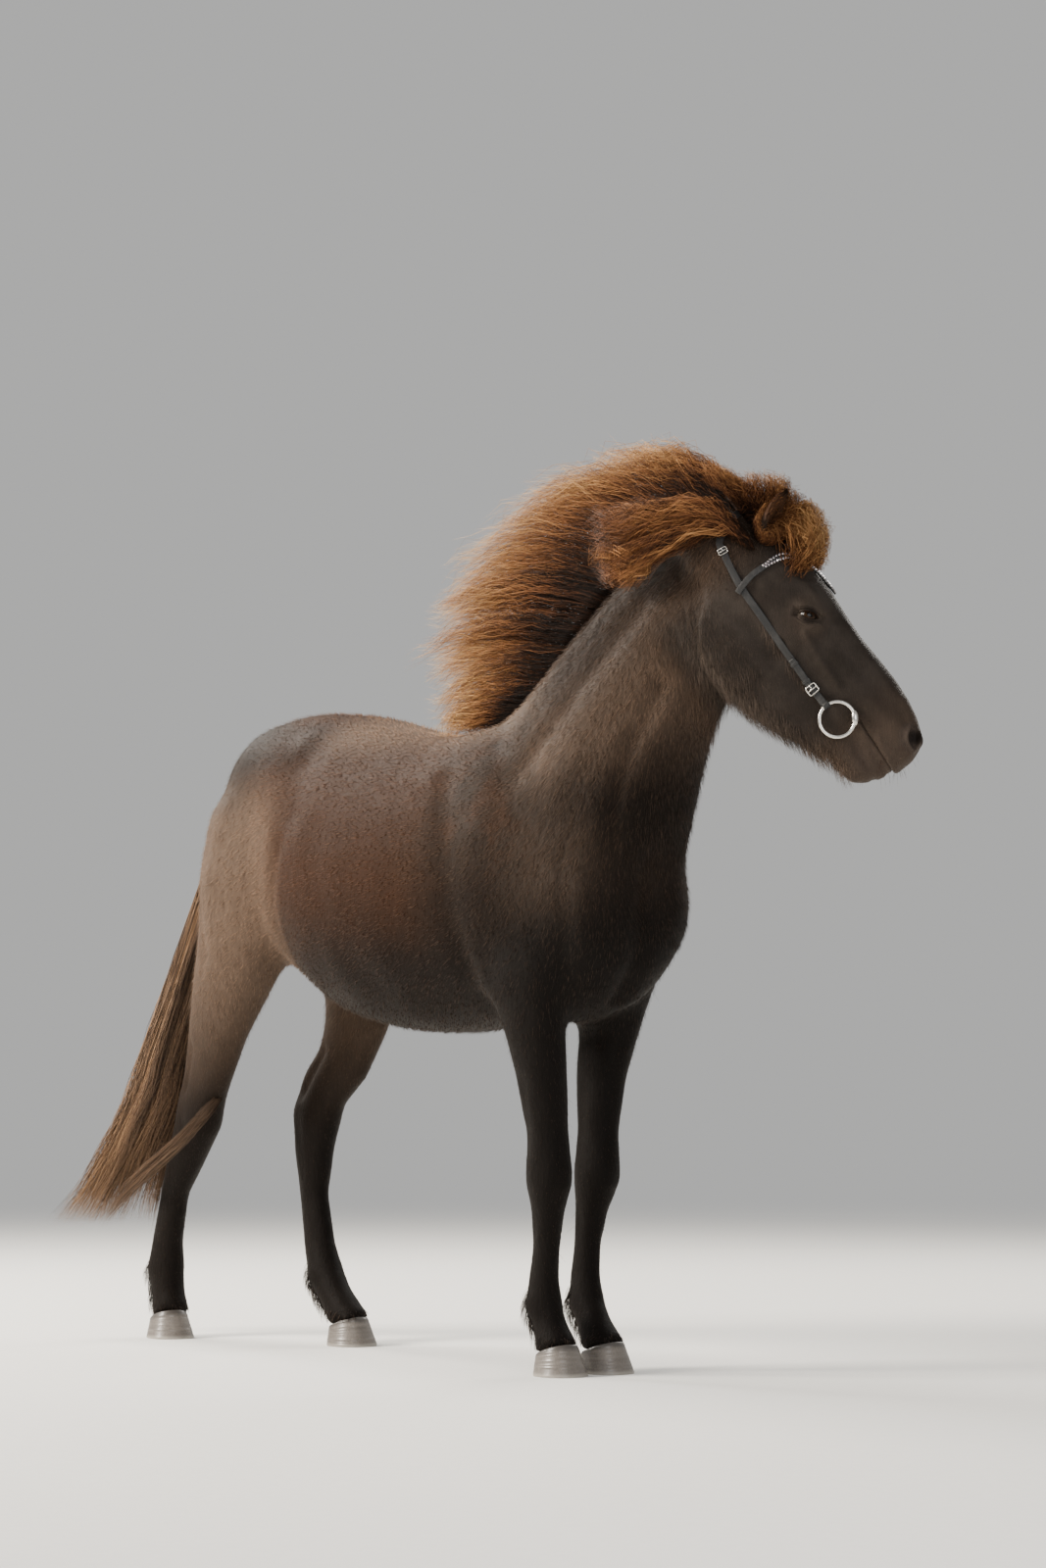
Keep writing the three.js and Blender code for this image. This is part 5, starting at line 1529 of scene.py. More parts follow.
def keep_clear(points):
    """False where no tuft grows: on the eyes, in the nostrils, on the lips' edge and inside the ears."""
    face = to_head(points)
    eye = off_centre(face, EYE.x + 3, EYE.y + 16, EYE.z) < 19
    nostril = off_centre(face, *NOSTRIL) < 22
    lips = (np.abs(lip_height(face)) < 4) & (face[:, 0] > 455)
    ear = (ear_share(face) > 0.06) & (off_centre(face, *(EAR_BASE + EAR_AXIS * 57)) < 80) & (face[:, 2] > 6)
    return ~(eye | nostril | lips | ear)


# %% Sowing
def sow(name, seed, count, weights, width, chart_of, more=0.0, rings=2, droop=0.0):
    """Tufts over the skin's triangles, drawn by area times weight; more mm longer, and hanging by droop mm."""
    draw = np.random.default_rng(seed)
    chance = areas * weights
    picked = draw.choice(len(areas), count, p=chance / chance.sum())
    a, b = draw.random((2, count))
    flip = a + b > 1
    a, b = np.where(flip, 1 - a, a), np.where(flip, 1 - b, b)
    shares = np.stack([1 - a - b, a, b], axis=1)[..., None]
    roots = (skin_points[triangles[picked]] * shares).sum(1)
    normals = unit((skin_normals[triangles[picked]] * shares).sum(1))
    good = keep_clear(roots)
    roots, normals = roots[good], normals[good]
    count = len(roots)
    lie = lie_of(roots, normals)
    across = np.cross(normals, lie)
    lie = unit(lie + across * draw.normal(0, 0.16, count)[:, None])
    length, stand = tuft_size(roots)
    length = (length + more) * draw.uniform(0.6, 1.15, count) * MM
    stand = (stand + more * 0.3) * draw.uniform(0.5, 1.15, count) * MM
    steps = np.linspace(0, 1, rings)
    path = roots[:, None] - normals[:, None] * 0.0016 * (1 - steps[:, None])
    path = path + lie[:, None] * (length[:, None] * steps)[..., None]
    path = path + normals[:, None] * (stand[:, None] * (1 - (1 - steps) ** 2))[..., None]
    path[..., 2] -= droop * MM * steps**2
    radii = np.ones((count, rings)) * (width * draw.uniform(0.7, 1.3, count) * MM)[:, None]
    shade = np.tile(steps, (count, 1))
    wide = np.repeat(np.cross(normals, lie)[:, None], rings, axis=1)
    return strands(name, path, radii, shade, draw.random(count), chart_of(roots), flat=0.35, wide=wide)


# %% [markdown]
# Every piece carries a chart, on which each tuft has its own small patch, so that a finish can be painted on it.
# A limb is rolled flat: one way along the limb, the other way round it.


# %% Charts of the coat
def round_share(side, up):
    return np.arctan2(side, up) / (2 * math.pi) + 0.5


def rolled(along, side, up):
    return np.column_stack([along * 0.96 + 0.02, round_share(side, up) * 0.96 + 0.02])


def trunk_chart(points):
    x, y, z = to_horse(points).T
    return rolled((x + 1260) / 1900, y, z - 1080)


def neck_chart(points):
    x, y, z = to_horse(points).T
    up = np.clip(((x + 260) * 0.62 + (z - 900) * 0.78) / 1250, 0, 1)
    return rolled(up, y - 0.14 * np.maximum(x, 0), x - (60 + 0.5 * (z - 1200)))


def head_chart(points):
    x, y, z = to_head(points).T
    return rolled(np.clip((x + 120) / 740, 0, 1), y, z + 70)


def leg_chart(points):
    """Four strips, one for each leg."""
    x, y, z = to_horse(points).T
    number = (x < -500) * 2 + (y < 0)
    middle_x = np.where(x < -500, np.where(y < 0, -1330, -1080), -45)
    turn = round_share(y - np.where(y < 0, -95, 95), x - middle_x)
    return np.column_stack([(number + 0.04 + 0.92 * turn) / 4, z / 900 * 0.94 + 0.02])


# %% [markdown]
# The skin is divided among the pieces by weights that run over into one another, so that no border shows. The
# beard hangs from the jaw, the feathers from the heels, and cuffs of hair fall over the tops of the hooves.

# %% Sow the coat
fx, _, fz = middle_face.T
x, y, z = middle_horse.T
facing_x, _, facing_z = skin_normals[triangles].mean(1).T
on_face = face_mask(middle_face, middle_horse, 10, 50)
on_leg = ease(820, 760, z) * (np.abs(y) > 40) * ((x > -190) | (x < -860))
on_leg = np.maximum(on_leg, z < 690)
over_hoof = z > 60
on_neck = ease(-150, -60, x) * (1 - on_face) * (1 - on_leg) * (z > 900)
on_trunk = (1 - on_face) * (1 - on_leg) * (1 - on_neck)
beard = (facing_z < -0.25) * (fx > 60) * ease(560, 470, fx) * on_face * (fz < -110)
feather = ease(84, 100, z) * ease(196, 165, z) * (facing_x < -0.3)
cuff = (z > 62) * (z < 86)
bridge = ease(-50, -15, fz) * ease(160, 220, fx)  # little hair stands on the bridge of the nose
coat_pieces = [
    sow("coat_trunk_left", 101, 15000, on_trunk * (y > 0), 1.1, trunk_chart),
    sow("coat_trunk_right", 102, 21000, on_trunk * (y <= 0), 1.05, trunk_chart),
    sow("coat_neck", 103, 26000, on_neck, 0.95, neck_chart),
    sow("coat_legs", 104, 15000, on_leg * over_hoof, 0.8, leg_chart),
    sow("coat_head", 105, 21000, on_face * (1 - 0.85 * bridge), 0.6, head_chart),
    sow("coat_beard", 106, 2300, beard, 0.42, head_chart, more=17, rings=3, droop=7),
    sow("coat_feathers", 107, 1700, feather, 0.75, leg_chart, more=26, rings=4, droop=9),
    sow("coat_cuffs", 108, 900, cuff, 0.6, leg_chart, more=7, rings=3, droop=3),
]

# %% [markdown]
# The tufts take the skin's own markings. Each is a little lighter or darker than its neighbours, and a few have
# bleached tips, which is what makes fur out of a flat colour.

# %% Coat finish
fur = Finish("horse_coat", 0.56, Specular_IOR_Level=0.06, Sheen_Weight=0.04, Sheen_Roughness=0.4)
fur.set("Sheen Tint", (0.8, 0.7, 0.62))
colour, _ = coat_colour(fur)
tip = fur.attribute("shade")
tone = fur.attribute("tone")
lit = fur.mix(tone * tone * tone * tip * 0.3, colour, (0.16, 0.105, 0.075))
lit = fur.mix(0.35 + tone * 0.4, lit, fur.mix(1.0, lit, (1.7, 1.62, 1.55), "MULTIPLY"))
fur.set("Base Color", fur.mix(tone.ramp(0.5, 0.0) * 0.3, lit, (0.004, 0.003, 0.0024)))
wear(coat_pieces, fur)
print("coat finish has", len(fur.tree.nodes), "nodes")

# %% [markdown]
# ## Bridle
# The straps are laid on the new skin. Each station aims a ray at the head's middle plane, from the side or tilted
# over the forehead. Where it meets the skin gives one place of the line, and the line is then smoothed and cut
# into even steps.

# %% Lines over the skin
skin_tree = BVHTree.FromObject(skin_piece, bpy.context.evaluated_depsgraph_get())
FUZZ = 1.2  # mm of short hair under a strap
CHEEK = [
    # x and z aimed at, tilt in degrees, height over the skin
    (-24, -60, 90, 3), (-24, -60, 66, 3), (-22, -62, 42, 3), (-14, -66, 20, 3), (4, -80, 0, 2), (26, -86, 0, 1.6),
    (50, -92, 0, 1.2), (109, -102, 0, 1.2), (180, -106, 0, 1.2), (250, -110, 0, 1.2), (310, -113, 0, 1.5),
    (338, -115, 0, 2.4), (358, -115, 0, 4), (380, -114, 0, 9), (396, -114, 0, 14),
]
BROW = [
    (112, -114, 0, 5), (106, -92, 0, 5), (102, -70, 0, 2), (102, -46, 0, 1.2), (106, -26, 18, 1.2),
    (118, -30, 38, 1.2), (140, -30, 56, 1.2), (170, -30, 70, 1.2), (200, -30, 80, 1.2), (224, -30, 90, 1.2),
]
print(len(CHEEK), "stations on the cheek strap and", len(BROW), "on the browband")

# %% [markdown]
# A ray from outside finds the skin at each station. A smooth line through those places is then cut into even
# steps, so that whatever lies on it can be placed by its share of the length.


# %% Lays of the straps
def touch(x, z, tilt, lift, way):
    up = math.radians(tilt)
    out = head_way(0, way * math.cos(up), math.sin(up))
    place, normal, _, _ = skin_tree.ray_cast(on_head(x, 0, z) + out * 0.4, -out)
    out = out.lerp(normal, 0.5).normalized()
    return [*(place + out * (lift + FUZZ) * MM), *out]


class Lay:
    """An even line over the skin with the ways along, across and out of it."""

    def __init__(self, stations, step=0.003):
        rows = np.array([touch(*station, way) for station, way in stations])
        fine = np.linspace(0, 1, 40 * len(rows))
        run = np.linalg.norm(np.diff(spline(rows, fine)[:, :3], axis=0), axis=1)
        run = np.concatenate([[0], np.cumsum(run)])
        self.length = run[-1]
        rows = spline(rows, np.interp(np.linspace(0, run[-1], round(run[-1] / step)), run, fine))
        for _ in range(6):
            rows[1:-1] = (rows[:-2] + 2 * rows[1:-1] + rows[2:]) / 4
        self.points = rows[:, :3]
        self.along = unit(np.gradient(self.points, axis=0))
        self.across = unit(np.cross(self.along, rows[:, 3:]))
        self.out = np.cross(self.across, self.along)

    def at(self, share, across=0.0, height=0.0):
        """A frame at a share of the line, across it and over it in mm."""
        i = min(max(share, 0), 1) * (len(self.points) - 1)
        low, f = int(min(i, len(self.points) - 2)), i - int(min(i, len(self.points) - 2))
        rows = [v[low] * (1 - f) + v[low + 1] * f for v in (self.along, self.across, self.out, self.points)]
        turn = Matrix([unit(v) for v in rows[:3]]).transposed().to_4x4()
        place = rows[3] + (rows[1] * across + rows[2] * height) * MM
        return Matrix.Translation(place) @ turn

    def nearest(self, place):
        return int(np.argmin(np.linalg.norm(self.points - np.array(place), axis=1)))

    def share_at(self, x, z, way, lift=2):
        """The share of the line nearest to where a ray at x and z meets the skin."""
        return self.nearest(touch(x, z, 0, lift, way)[:3]) / (len(self.points) - 1)


def both_ways(half):
    return [(station, 1) for station in half] + [(station, -1) for station in half[:-1][::-1]]


cheek_lay = Lay(both_ways(CHEEK[::-1]))
brow_lay = Lay(both_ways(BROW))
print("bridle straps", [round(lay.length, 3) for lay in (cheek_lay, brow_lay)], "m")

# %% [markdown]
# A strap is a grid bent along its line and thickened. The bit, buckles and keepers are worked from plain shapes:
# a circle spun into a ring, a box or a cone with its edges rounded. `copies` then sets a shape in many places.


# %% Straps and plain shapes
def tooled(a):
    """How far leather lies below its full height at a (-1 to 1) across it: rounded edges, a creased line inside."""
    return 0.55 * ease(0.88, 1.0, np.abs(a)) + 0.4 * np.exp(-(((np.abs(a) - 0.72) / 0.06) ** 2)) + 0.25 * a * a


def band(name, lay, width, thick, start=0.0, end=1.0, height=0.0):
    """A strap along part of a lay: a grid bent over the skin, thickened, its edges rounded."""
    bm = bmesh.new()
    steps = max(4, round(lay.length * (end - start) / 0.003))
    bmesh.ops.create_grid(bm, x_segments=steps, y_segments=14, size=0.5)
    for vert in bm.verts:
        share, a = vert.co.x + 0.5, vert.co.y * 2
        vert.co = lay.at(start + (end - start) * share, a * width / 2, height + thick - tooled(a)).translation
    pulled = bmesh.ops.extrude_face_region(bm, geom=bm.faces[:], use_keep_orig=True)
    for vert in (v for v in pulled["geom"] if isinstance(v, bmesh.types.BMVert)):
        vert.co -= Vector(lay.out[lay.nearest(vert.co)]) * (thick - 0.5) * MM
    bmesh.ops.recalc_face_normals(bm, faces=bm.faces)
    return smooth_piece(name, bm)


def rounded(bm, edges, offset):
    bmesh.ops.bevel(bm, geom=edges, offset=offset * MM, segments=3, profile=0.5, affect="EDGES", material=-1)
    return bm


def cone(sides, low, high, depth, rise=0.0, unit=MM):
    """A capped cone round z in mm, its middle raised."""
    bm = bmesh.new()
    bmesh.ops.create_cone(
        bm, cap_ends=True, segments=sides, radius1=low * unit, radius2=high * unit, depth=depth * unit
    )
    bmesh.ops.translate(bm, vec=(0, 0, rise * unit), verts=bm.verts)
    return bm


def ball(u_segments, v_segments, radius=1):
    bm = bmesh.new()
    bmesh.ops.create_uvsphere(bm, u_segments=u_segments, v_segments=v_segments, radius=radius)
    return bm


def rise_of(edge):
    return abs(edge.verts[0].co.z - edge.verts[1].co.z)


def wire_ring(radius, wire, steps, sides, square=None):
    """A torus round z in mm, or a rounded square frame of half sizes square."""
    bm = bmesh.new()
    bmesh.ops.create_circle(bm, segments=sides, radius=wire * MM, matrix=Matrix.Rotation(math.pi / 2, 4, "X"))
    bmesh.ops.translate(bm, vec=(radius * MM, 0, 0), verts=bm.verts)
    bmesh.ops.spin(
        bm, geom=bm.edges[:], cent=(0, 0, 0), axis=(0, 0, 1), angle=2 * math.pi, steps=steps, use_merge=True
    )
    if square:
        for vert in bm.verts:
            turn = math.atan2(vert.co.y, vert.co.x)
            off = Vector((vert.co.x, vert.co.y, 0)).length - radius * MM
            c, s = math.cos(turn), math.sin(turn)
            reach = (abs(c / square[0]) ** 7 + abs(s / square[1]) ** 7) ** (-1 / 7)
            vert.co.x, vert.co.y = c * (reach * MM + off), s * (reach * MM + off)
    bmesh.ops.recalc_face_normals(bm, faces=bm.faces)
    return bm


def copies(shape, frames, bm=None):
    """One bmesh with the shape set at each frame."""
    bm = bm or bmesh.new()
    mesh = bpy.data.meshes.new("shape")
    shape.to_mesh(mesh)
    for frame_matrix in frames:
        start = len(bm.verts)
        bm.from_mesh(mesh)
        bmesh.ops.transform(bm, matrix=frame_matrix, verts=list(bm.verts)[start:])
    bpy.data.meshes.remove(mesh)
    return bm


# %% [markdown]
# The cheek strap runs over the poll from ring to ring and is folded round each ring. A buckle closes it under the
# eye, its loose tip lies on the strap, and two keepers hold the tip. Both straps are stitched along their edges.

# %% Straps, keepers and stitches
STRAP_WIDE, BROW_WIDE, STRAP_THICK = 15, 13, 3
BUCKLE_AT, TIP_AT = (358, -115), (284, -112)  # x and z on the cheek
KEEPERS_AT = ((337, -115), (296, -113))
RING_AT, RING_SIDE, RING_RADIUS, RING_WIRE = (438, -114), 60, 36, 4
STITCH_PITCH, STITCH_EDGE = 0.0034, 0.72  # metres, and a share of half the width

straps = [
    band("bridle_strap", cheek_lay, STRAP_WIDE, STRAP_THICK),
    band("bridle_brow", brow_lay, BROW_WIDE, STRAP_THICK),
]
keepers, buckle_shares = [], {}
for side, way in SIDES:
    buckle_shares[side] = cheek_lay.share_at(*BUCKLE_AT, way)
    lying = sorted((buckle_shares[side], cheek_lay.share_at(*TIP_AT, way)))
    straps.append(band(f"bridle_tip_{side}", cheek_lay, STRAP_WIDE - 1, 2.4, *lying, height=STRAP_THICK))
    keepers += [cheek_lay.at(cheek_lay.share_at(*place, way), 0, 2.6) for place in KEEPERS_AT]
keeper = bmesh.new()
bmesh.ops.create_cube(keeper, size=1)
bmesh.ops.scale(keeper, vec=(7 * MM, (STRAP_WIDE + 2.4) * MM, 7.4 * MM), verts=keeper.verts)
straps.append(smooth_piece("bridle_keepers", copies(rounded(keeper, keeper.edges[:], 1.1), keepers)))

fold = cone(32, 7.6, 7.6, STRAP_WIDE)
rounded(fold, [edge for edge in fold.edges if rise_of(edge) < 1e-6], 1.6)
fold_frames = [
    HEAD @ Matrix.Translation((RING_AT[0] - RING_RADIUS, way * RING_SIDE, RING_AT[1])) @ Matrix.Scale(1000, 4)
    for _, way in SIDES
]
straps.append(smooth_piece("bridle_folds", copies(fold, fold_frames)))

stitch = ball(6, 4)
bmesh.ops.scale(stitch, vec=(0.0012, 0.00032, 0.00034), verts=stitch.verts)
stitch_frames = []
for lay, wide in ((cheek_lay, STRAP_WIDE), (brow_lay, BROW_WIDE)):
    count = round(lay.length / STITCH_PITCH)
    for edge in (-STITCH_EDGE, STITCH_EDGE):
        stitch_frames += [lay.at((k + 0.5) / count, edge * wide / 2, STRAP_THICK - 0.5) for k in range(count)]
stitching = smooth_piece("bridle_stitches", copies(stitch, stitch_frames))
print(len(straps), "pieces of leather,", len(stitch_frames), "stitches")

# %% [markdown]
# A buckle is a square frame of wire with a bar and a tongue. The bit has a thick ring on each side, a sleeve where
# the ring runs through, and a bar between them, most of it hidden in the mouth.

# %% Steel
ON_Y, ON_X = Matrix.Rotation(math.pi / 2, 4, "X"), Matrix.Rotation(math.pi / 2, 4, "Y")
buckle = copies(wire_ring(11, 1.6, 64, 12, square=(9.4, 11.2)), [Matrix.Identity(4)])
buckle = copies(cone(16, 1.4, 1.4, 22.4), [ON_Y], buckle)
buckle = copies(cone(12, 1.3, 0.9, 12.6), [Matrix.Translation((-5.6 * MM, 0, 1.6 * MM)) @ ON_X], buckle)
SMALL = Matrix.Diagonal((0.68, 0.84, 0.9, 1))  # the upper buckles against the lower ones
metal = []
for side, way in SIDES:
    towards = Matrix.Rotation(math.pi if way > 0 else 0, 4, "Z")
    lower = cheek_lay.at(buckle_shares[side], 0, 5.2) @ towards
    upper = cheek_lay.at(cheek_lay.share_at(24, -86, way), 0, 4.4) @ towards @ SMALL
    metal.append(smooth_piece(f"bridle_steel_lower_{side}", copies(buckle, [lower])))
    metal.append(smooth_piece(f"bridle_steel_upper_{side}", copies(buckle, [upper])))

MOUTH_AT = (458, -84)
sleeve = ball(32, 20)
for vert in sleeve.verts:
    vert.co = Vector((vert.co.x * 15, vert.co.y * 7.4, vert.co.z * 7.6)) * (1 + 0.1 * vert.co.x**2)
tangent = math.atan2(MOUTH_AT[1] - RING_AT[1], MOUTH_AT[0] - RING_AT[0]) + math.pi / 2
bmesh.ops.rotate(sleeve, matrix=Matrix.Rotation(-tangent, 3, "Y"), verts=sleeve.verts)
mouth_bar = cone(32, 6.4, 6.4, 2 * RING_SIDE, unit=1)
bmesh.ops.subdivide_edges(mouth_bar, edges=[e for e in mouth_bar.edges if rise_of(e) > 1], cuts=20)
bmesh.ops.rotate(mouth_bar, matrix=ON_Y.to_3x3(), verts=mouth_bar.verts)
bit = copies(mouth_bar, [HEAD @ Matrix.Translation((MOUTH_AT[0], 0, MOUTH_AT[1]))])
for side, way in SIDES:
    bit = copies(sleeve, [HEAD @ Matrix.Translation((MOUTH_AT[0], way * RING_SIDE, MOUTH_AT[1]))], bit)
    ring_frame = HEAD @ Matrix.Translation((RING_AT[0], way * RING_SIDE, RING_AT[1])) @ ON_Y @ Matrix.Scale(1000, 4)
    ring = copies(wire_ring(RING_RADIUS, RING_WIRE, 112, 20), [ring_frame])
    metal.append(smooth_piece(f"bit_steel_ring_{side}", ring))
metal.append(smooth_piece("bit_steel_mouth", bit))
print(len(metal), "pieces of steel")

# %% [markdown]
# Two rows of clear stones run along the browband. They lie together beside the cheek, part, and dip to a point in
# the middle of the forehead. Each stone is a cut cone with a flat table, held in a cup of metal.

# %% Stones
STONES, STRIP_WIDE = 58, 11.5  # stones in a row, and the width of the strip that they are set on
stone = cone(8, 2.5, 1.4, 1.5, rise=0.9)
pavilion = cone(8, 0.4, 2.5, 1.4, rise=-0.35)
cup = cone(12, 2.5, 2.8, 1.2, rise=-0.5)
stone_frames, cup_frames = [], []
first_stone = brow_lay.share_at(102, -46, 1, lift=1.2)
for row in (-1, 1):
    for k in range(STONES):
        share = first_stone + (1 - 2 * first_stone) * (k + 0.5 + 0.25 * row) / STONES
        middle = abs(2 * share - 1) / (1 - 2 * first_stone)
        apart = 2.2 + 3.4 * math.sin(math.pi * min(1, max(0, 1 - middle) * 2.2)) ** 2
        cup_frames.append(brow_lay.at(share, row * apart, STRAP_THICK + 0.9))
        turned = Matrix.Rotation(0.7 * k + row, 4, "Z") @ Matrix.Rotation(0.12 * math.sin(2.3 * k + row), 4, "X")
        stone_frames.append(cup_frames[-1] @ turned)
gems = mesh_object("bridle_stones", copies(pavilion, stone_frames, copies(stone, stone_frames)))
cups = smooth_piece("bridle_cups", copies(cup, cup_frames))
strip_ends = (first_stone - 0.004, 1.004 - first_stone)
lining = band("bridle_strip", brow_lay, STRIP_WIDE, 0.9, *strip_ends, height=STRAP_THICK - 0.4)
print(len(stone_frames), "stones")

# %% [markdown]
# The leather is black, worn and a little glossy, with a fine grain of cells and pores. The steel is polished and
# tarnished in patches. The stones throw back spots of light and dark, as cut glass does, so a fine pattern
# stands in for their facets' mirror images.

# %% Bridle finishes
leather = Finish("bridle_leather", 0.4, Specular_IOR_Level=0.36, Coat_Roughness=0.35)
place = leather.place()
grain_cells = leather.node(
    "ShaderNodeTexVoronoi", {"feature": "DISTANCE_TO_EDGE"}, Vector=place, Scale=950.0, out="Distance"
)
pores = leather.noise(place, 420, 3, 0.6)
scuff = leather.noise(place, 36, 5, 0.7)
colour = leather.mix(scuff.ramp(0.45, 0.75), (0.009, 0.0085, 0.008), (0.034, 0.032, 0.03))
colour = leather.mix(grain_cells.ramp(0.1, 0.0) * 0.4, colour, (0.008, 0.0075, 0.007))
leather.set("Base Color", colour)
leather.set("Roughness", 0.36 + scuff * 0.26 + pores * 0.06)
leather.set("Normal", leather.bump(grain_cells.ramp(0.0, 0.25) * 0.6 + pores * 0.4, 0.5, 0.00025))
leather.set("Coat Weight", 0.22 - scuff * 0.16)

thread = Finish("bridle_thread", 0.8)
lay_of_thread = thread.moved(thread.place(), turn=(0.6, 0.4, 0), scale=(2600, 2600, 700))
twist = thread.noise(lay_of_thread, 1, 1)
thread.set("Base Color", thread.mix(twist, (0.012, 0.012, 0.012), (0.05, 0.047, 0.044)))
thread.set("Normal", thread.bump(twist, 0.6, 0.0002))

steel = Finish("bit_steel", 0.16, Metallic=1.0)
place = steel.place()
tarnish = steel.noise(place, 60, 5, 0.65)
scratches = steel.noise(steel.moved(place, turn=(0.5, 0.9, 0.2), scale=(900, 900, 40)), 1, 2)
steel.set(
    "Base Color", steel.mix(tarnish.ramp(0.5, 0.75) * 0.5, (0.66, 0.63, 0.58), (0.36, 0.32, 0.27))
)
steel.set("Roughness", 0.12 + tarnish.ramp(0.4, 0.8) * 0.22 + scratches * 0.1)
steel.set("Normal", steel.bump(scratches, 0.08, 0.0001))

crystal = Finish("bridle_crystal", 0.02, IOR=1.9, Specular_IOR_Level=0.9, Coat_Roughness=0.02)
place = crystal.place()
fire = crystal.noise(place, 340, 1, 0.5)
crystal.set("Base Color", crystal.stops(
    fire, (0.36, (0.03, 0.025, 0.03)), (0.46, (0.3, 0.22, 0.26)), (0.56, (0.85, 0.8, 0.84)),
    (0.66, (0.16, 0.18, 0.23)),
))
crystal.set("Metallic", fire.ramp(0.35, 0.6) * 0.85)
crystal.set("Coat Weight", 1.0)
wear([*straps, lining], leather)
wear([stitching], thread)
wear(metal, steel)
wear([gems], crystal)
wear([cups], steel)
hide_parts("bridle_headpiece")
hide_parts("bridle_browband")
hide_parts("bridle_browband_beads")
for piece in metal:
    for prefix, node in (("bridle_steel_", "bridle_buckle_"), ("bit_steel_ring_", "bit_ring_")):
        if piece.name.startswith(prefix):
            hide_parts(piece.name.replace(prefix, node))
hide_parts("bit_mouthpiece")
print("bridle of", len(straps) + len(metal) + 4, "pieces")

# %% [markdown]
# ## Eyes
# The eyeball is a sphere with a cornea that swells where the lids open. The iris is dark brown with a level, oval
# pupil and fine spokes round it. Lashes hang from the upper lid over it.

# %% Eyes
for side, way in SIDES:
    out, along, up = (head_way(*v) for v in eye_axes(way))
    middle = on_head(EYE.x, way * EYE.y, EYE.z)
    bm = ball(72, 48, BALL * MM)
    for vert in bm.verts:
        facing = vert.co.normalized().dot(out)
        vert.co *= 1 + 0.075 * float(ease(0.72, 0.95, np.float64(facing)))
    bmesh.ops.translate(bm, vec=middle, verts=bm.verts)
    eyeball = smooth_piece(f"eyeball_{side}", bm)
    finish = Finish(f"eye_{side}", 0.07, Specular_IOR_Level=0.15)
    local = finish.vector("SUBTRACT", finish.place(), tuple(middle))
    level = Vector(along - up * 0.25).normalized()
    upright = out.cross(level).normalized()
    flat_x, flat_y = (finish.vector("DOT_PRODUCT", local, tuple(v), out="Value") for v in (level, upright))
    pupil = ((flat_x / 0.0068) ** 2 + (flat_y / 0.0034) ** 2) ** 0.5
    radial = ((flat_x / 0.0135) ** 2 + (flat_y / 0.0118) ** 2) ** 0.5
    angle = finish.node("ShaderNodeMath", {"operation": "ARCTAN2"}, flat_y, flat_x)
    combined = finish.node("ShaderNodeCombineXYZ", None, angle * 9, radial * 1.6, 0.0)
    spokes = finish.noise(combined, 2.2, 4, 0.6)
    white = finish.mix(radial.ramp(1.05, 1.7), (0.006, 0.005, 0.004), (0.07, 0.048, 0.036))
    finish.set("Base Color", finish.layers(
        (0.008, 0.0045, 0.0025),
        (spokes.ramp(0.3, 0.7), (0.036, 0.018, 0.008)),  # the iris
        (radial.ramp(0.82, 1.0), (0.004, 0.003, 0.0025)),  # its dark edge
        (pupil.ramp(1.1, 0.9), (0.0008, 0.0008, 0.001)),
        (radial.ramp(0.97, 1.05), white),
    ))
    wear([eyeball], finish)
    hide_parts(f"eye_{side}")


# %% Lashes
def fine_strands(name, draw, path, thick, chart, low, high):
    """Strands of a radius in mm at the root, from shade low there to high at the tip."""
    steps = np.linspace(0, 1, path.shape[1])
    radius = thick * MM * (1 - 0.6 * steps) * np.ones((len(path), 1))
    shade = np.tile(low + (high - low) * steps, (len(path), 1))
    return strands(name, path, radius, shade, draw.random(len(path)), chart)


LASHES = 90  # on each upper lid
fine_hair = []
for number, (side, way) in enumerate(SIDES):
    out, along, up = (np.array(head_way(*v)) for v in eye_axes(way))
    middle = np.array(on_head(EYE.x, way * EYE.y, EYE.z))
    draw = np.random.default_rng(140 + number)
    u = np.sort(draw.uniform(-0.86, 0.8, LASHES)) * EYE_HALF
    v = EYE_RISE * (1 - np.abs(u / EYE_HALF) ** 2.2) + 0.06 * u + draw.uniform(0.2, 1.8, LASHES)
    w = np.sqrt((BALL + LID) ** 2 - u**2 - v**2) - 0.4
    roots = middle + (along * u[:, None] + up * v[:, None] + out * w[:, None]) * MM
    steps = np.linspace(0, 1, 6)
    long = draw.uniform(8, 15, LASHES) * (1 - 0.4 * np.abs(u / EYE_HALF))
    reach = (long[:, None] * steps)[..., None] * MM
    fan = (u / EYE_HALF * 0.35 + draw.normal(0, 0.12, LASHES))[:, None, None]
    path = roots[:, None] + out * reach * 0.75 + along * reach * fan
    path = path + up * (reach * (-0.75 + 0.35 * steps[:, None]))
    chart = np.column_stack([(u + 25) / 50, draw.uniform(0.2, 0.8, LASHES)])
    fine_hair.append(fine_strands(f"lashes_{side}", draw, path, 0.28, chart, 0.05, 0.3))

# %% [markdown]
# Longer hair lines the openings of the ears, and stiff feelers stand out of the lips and the chin.


# %% Ear hair and whiskers
def head_tufts(name, seed, roots, ways, lengths, bend, thick, shades):
    """Fine strands from places on the head (mm) along ways, bending by bend over their length."""
    draw = np.random.default_rng(seed)
    steps = np.linspace(0, 1, 6)
    reach = (lengths[:, None] * steps)[..., None]
    path = roots[:, None] + ways[:, None] * reach + np.array(bend) * reach * steps[:, None]
    path = path + draw.normal(0, 0.9, (len(roots), 1, 3)) * steps[:, None] ** 1.5
    chart = np.column_stack([draw.uniform(0.05, 0.95, len(roots)), draw.uniform(0.05, 0.95, len(roots))])
    return fine_strands(name, draw, from_head(path), thick, chart, *shades)


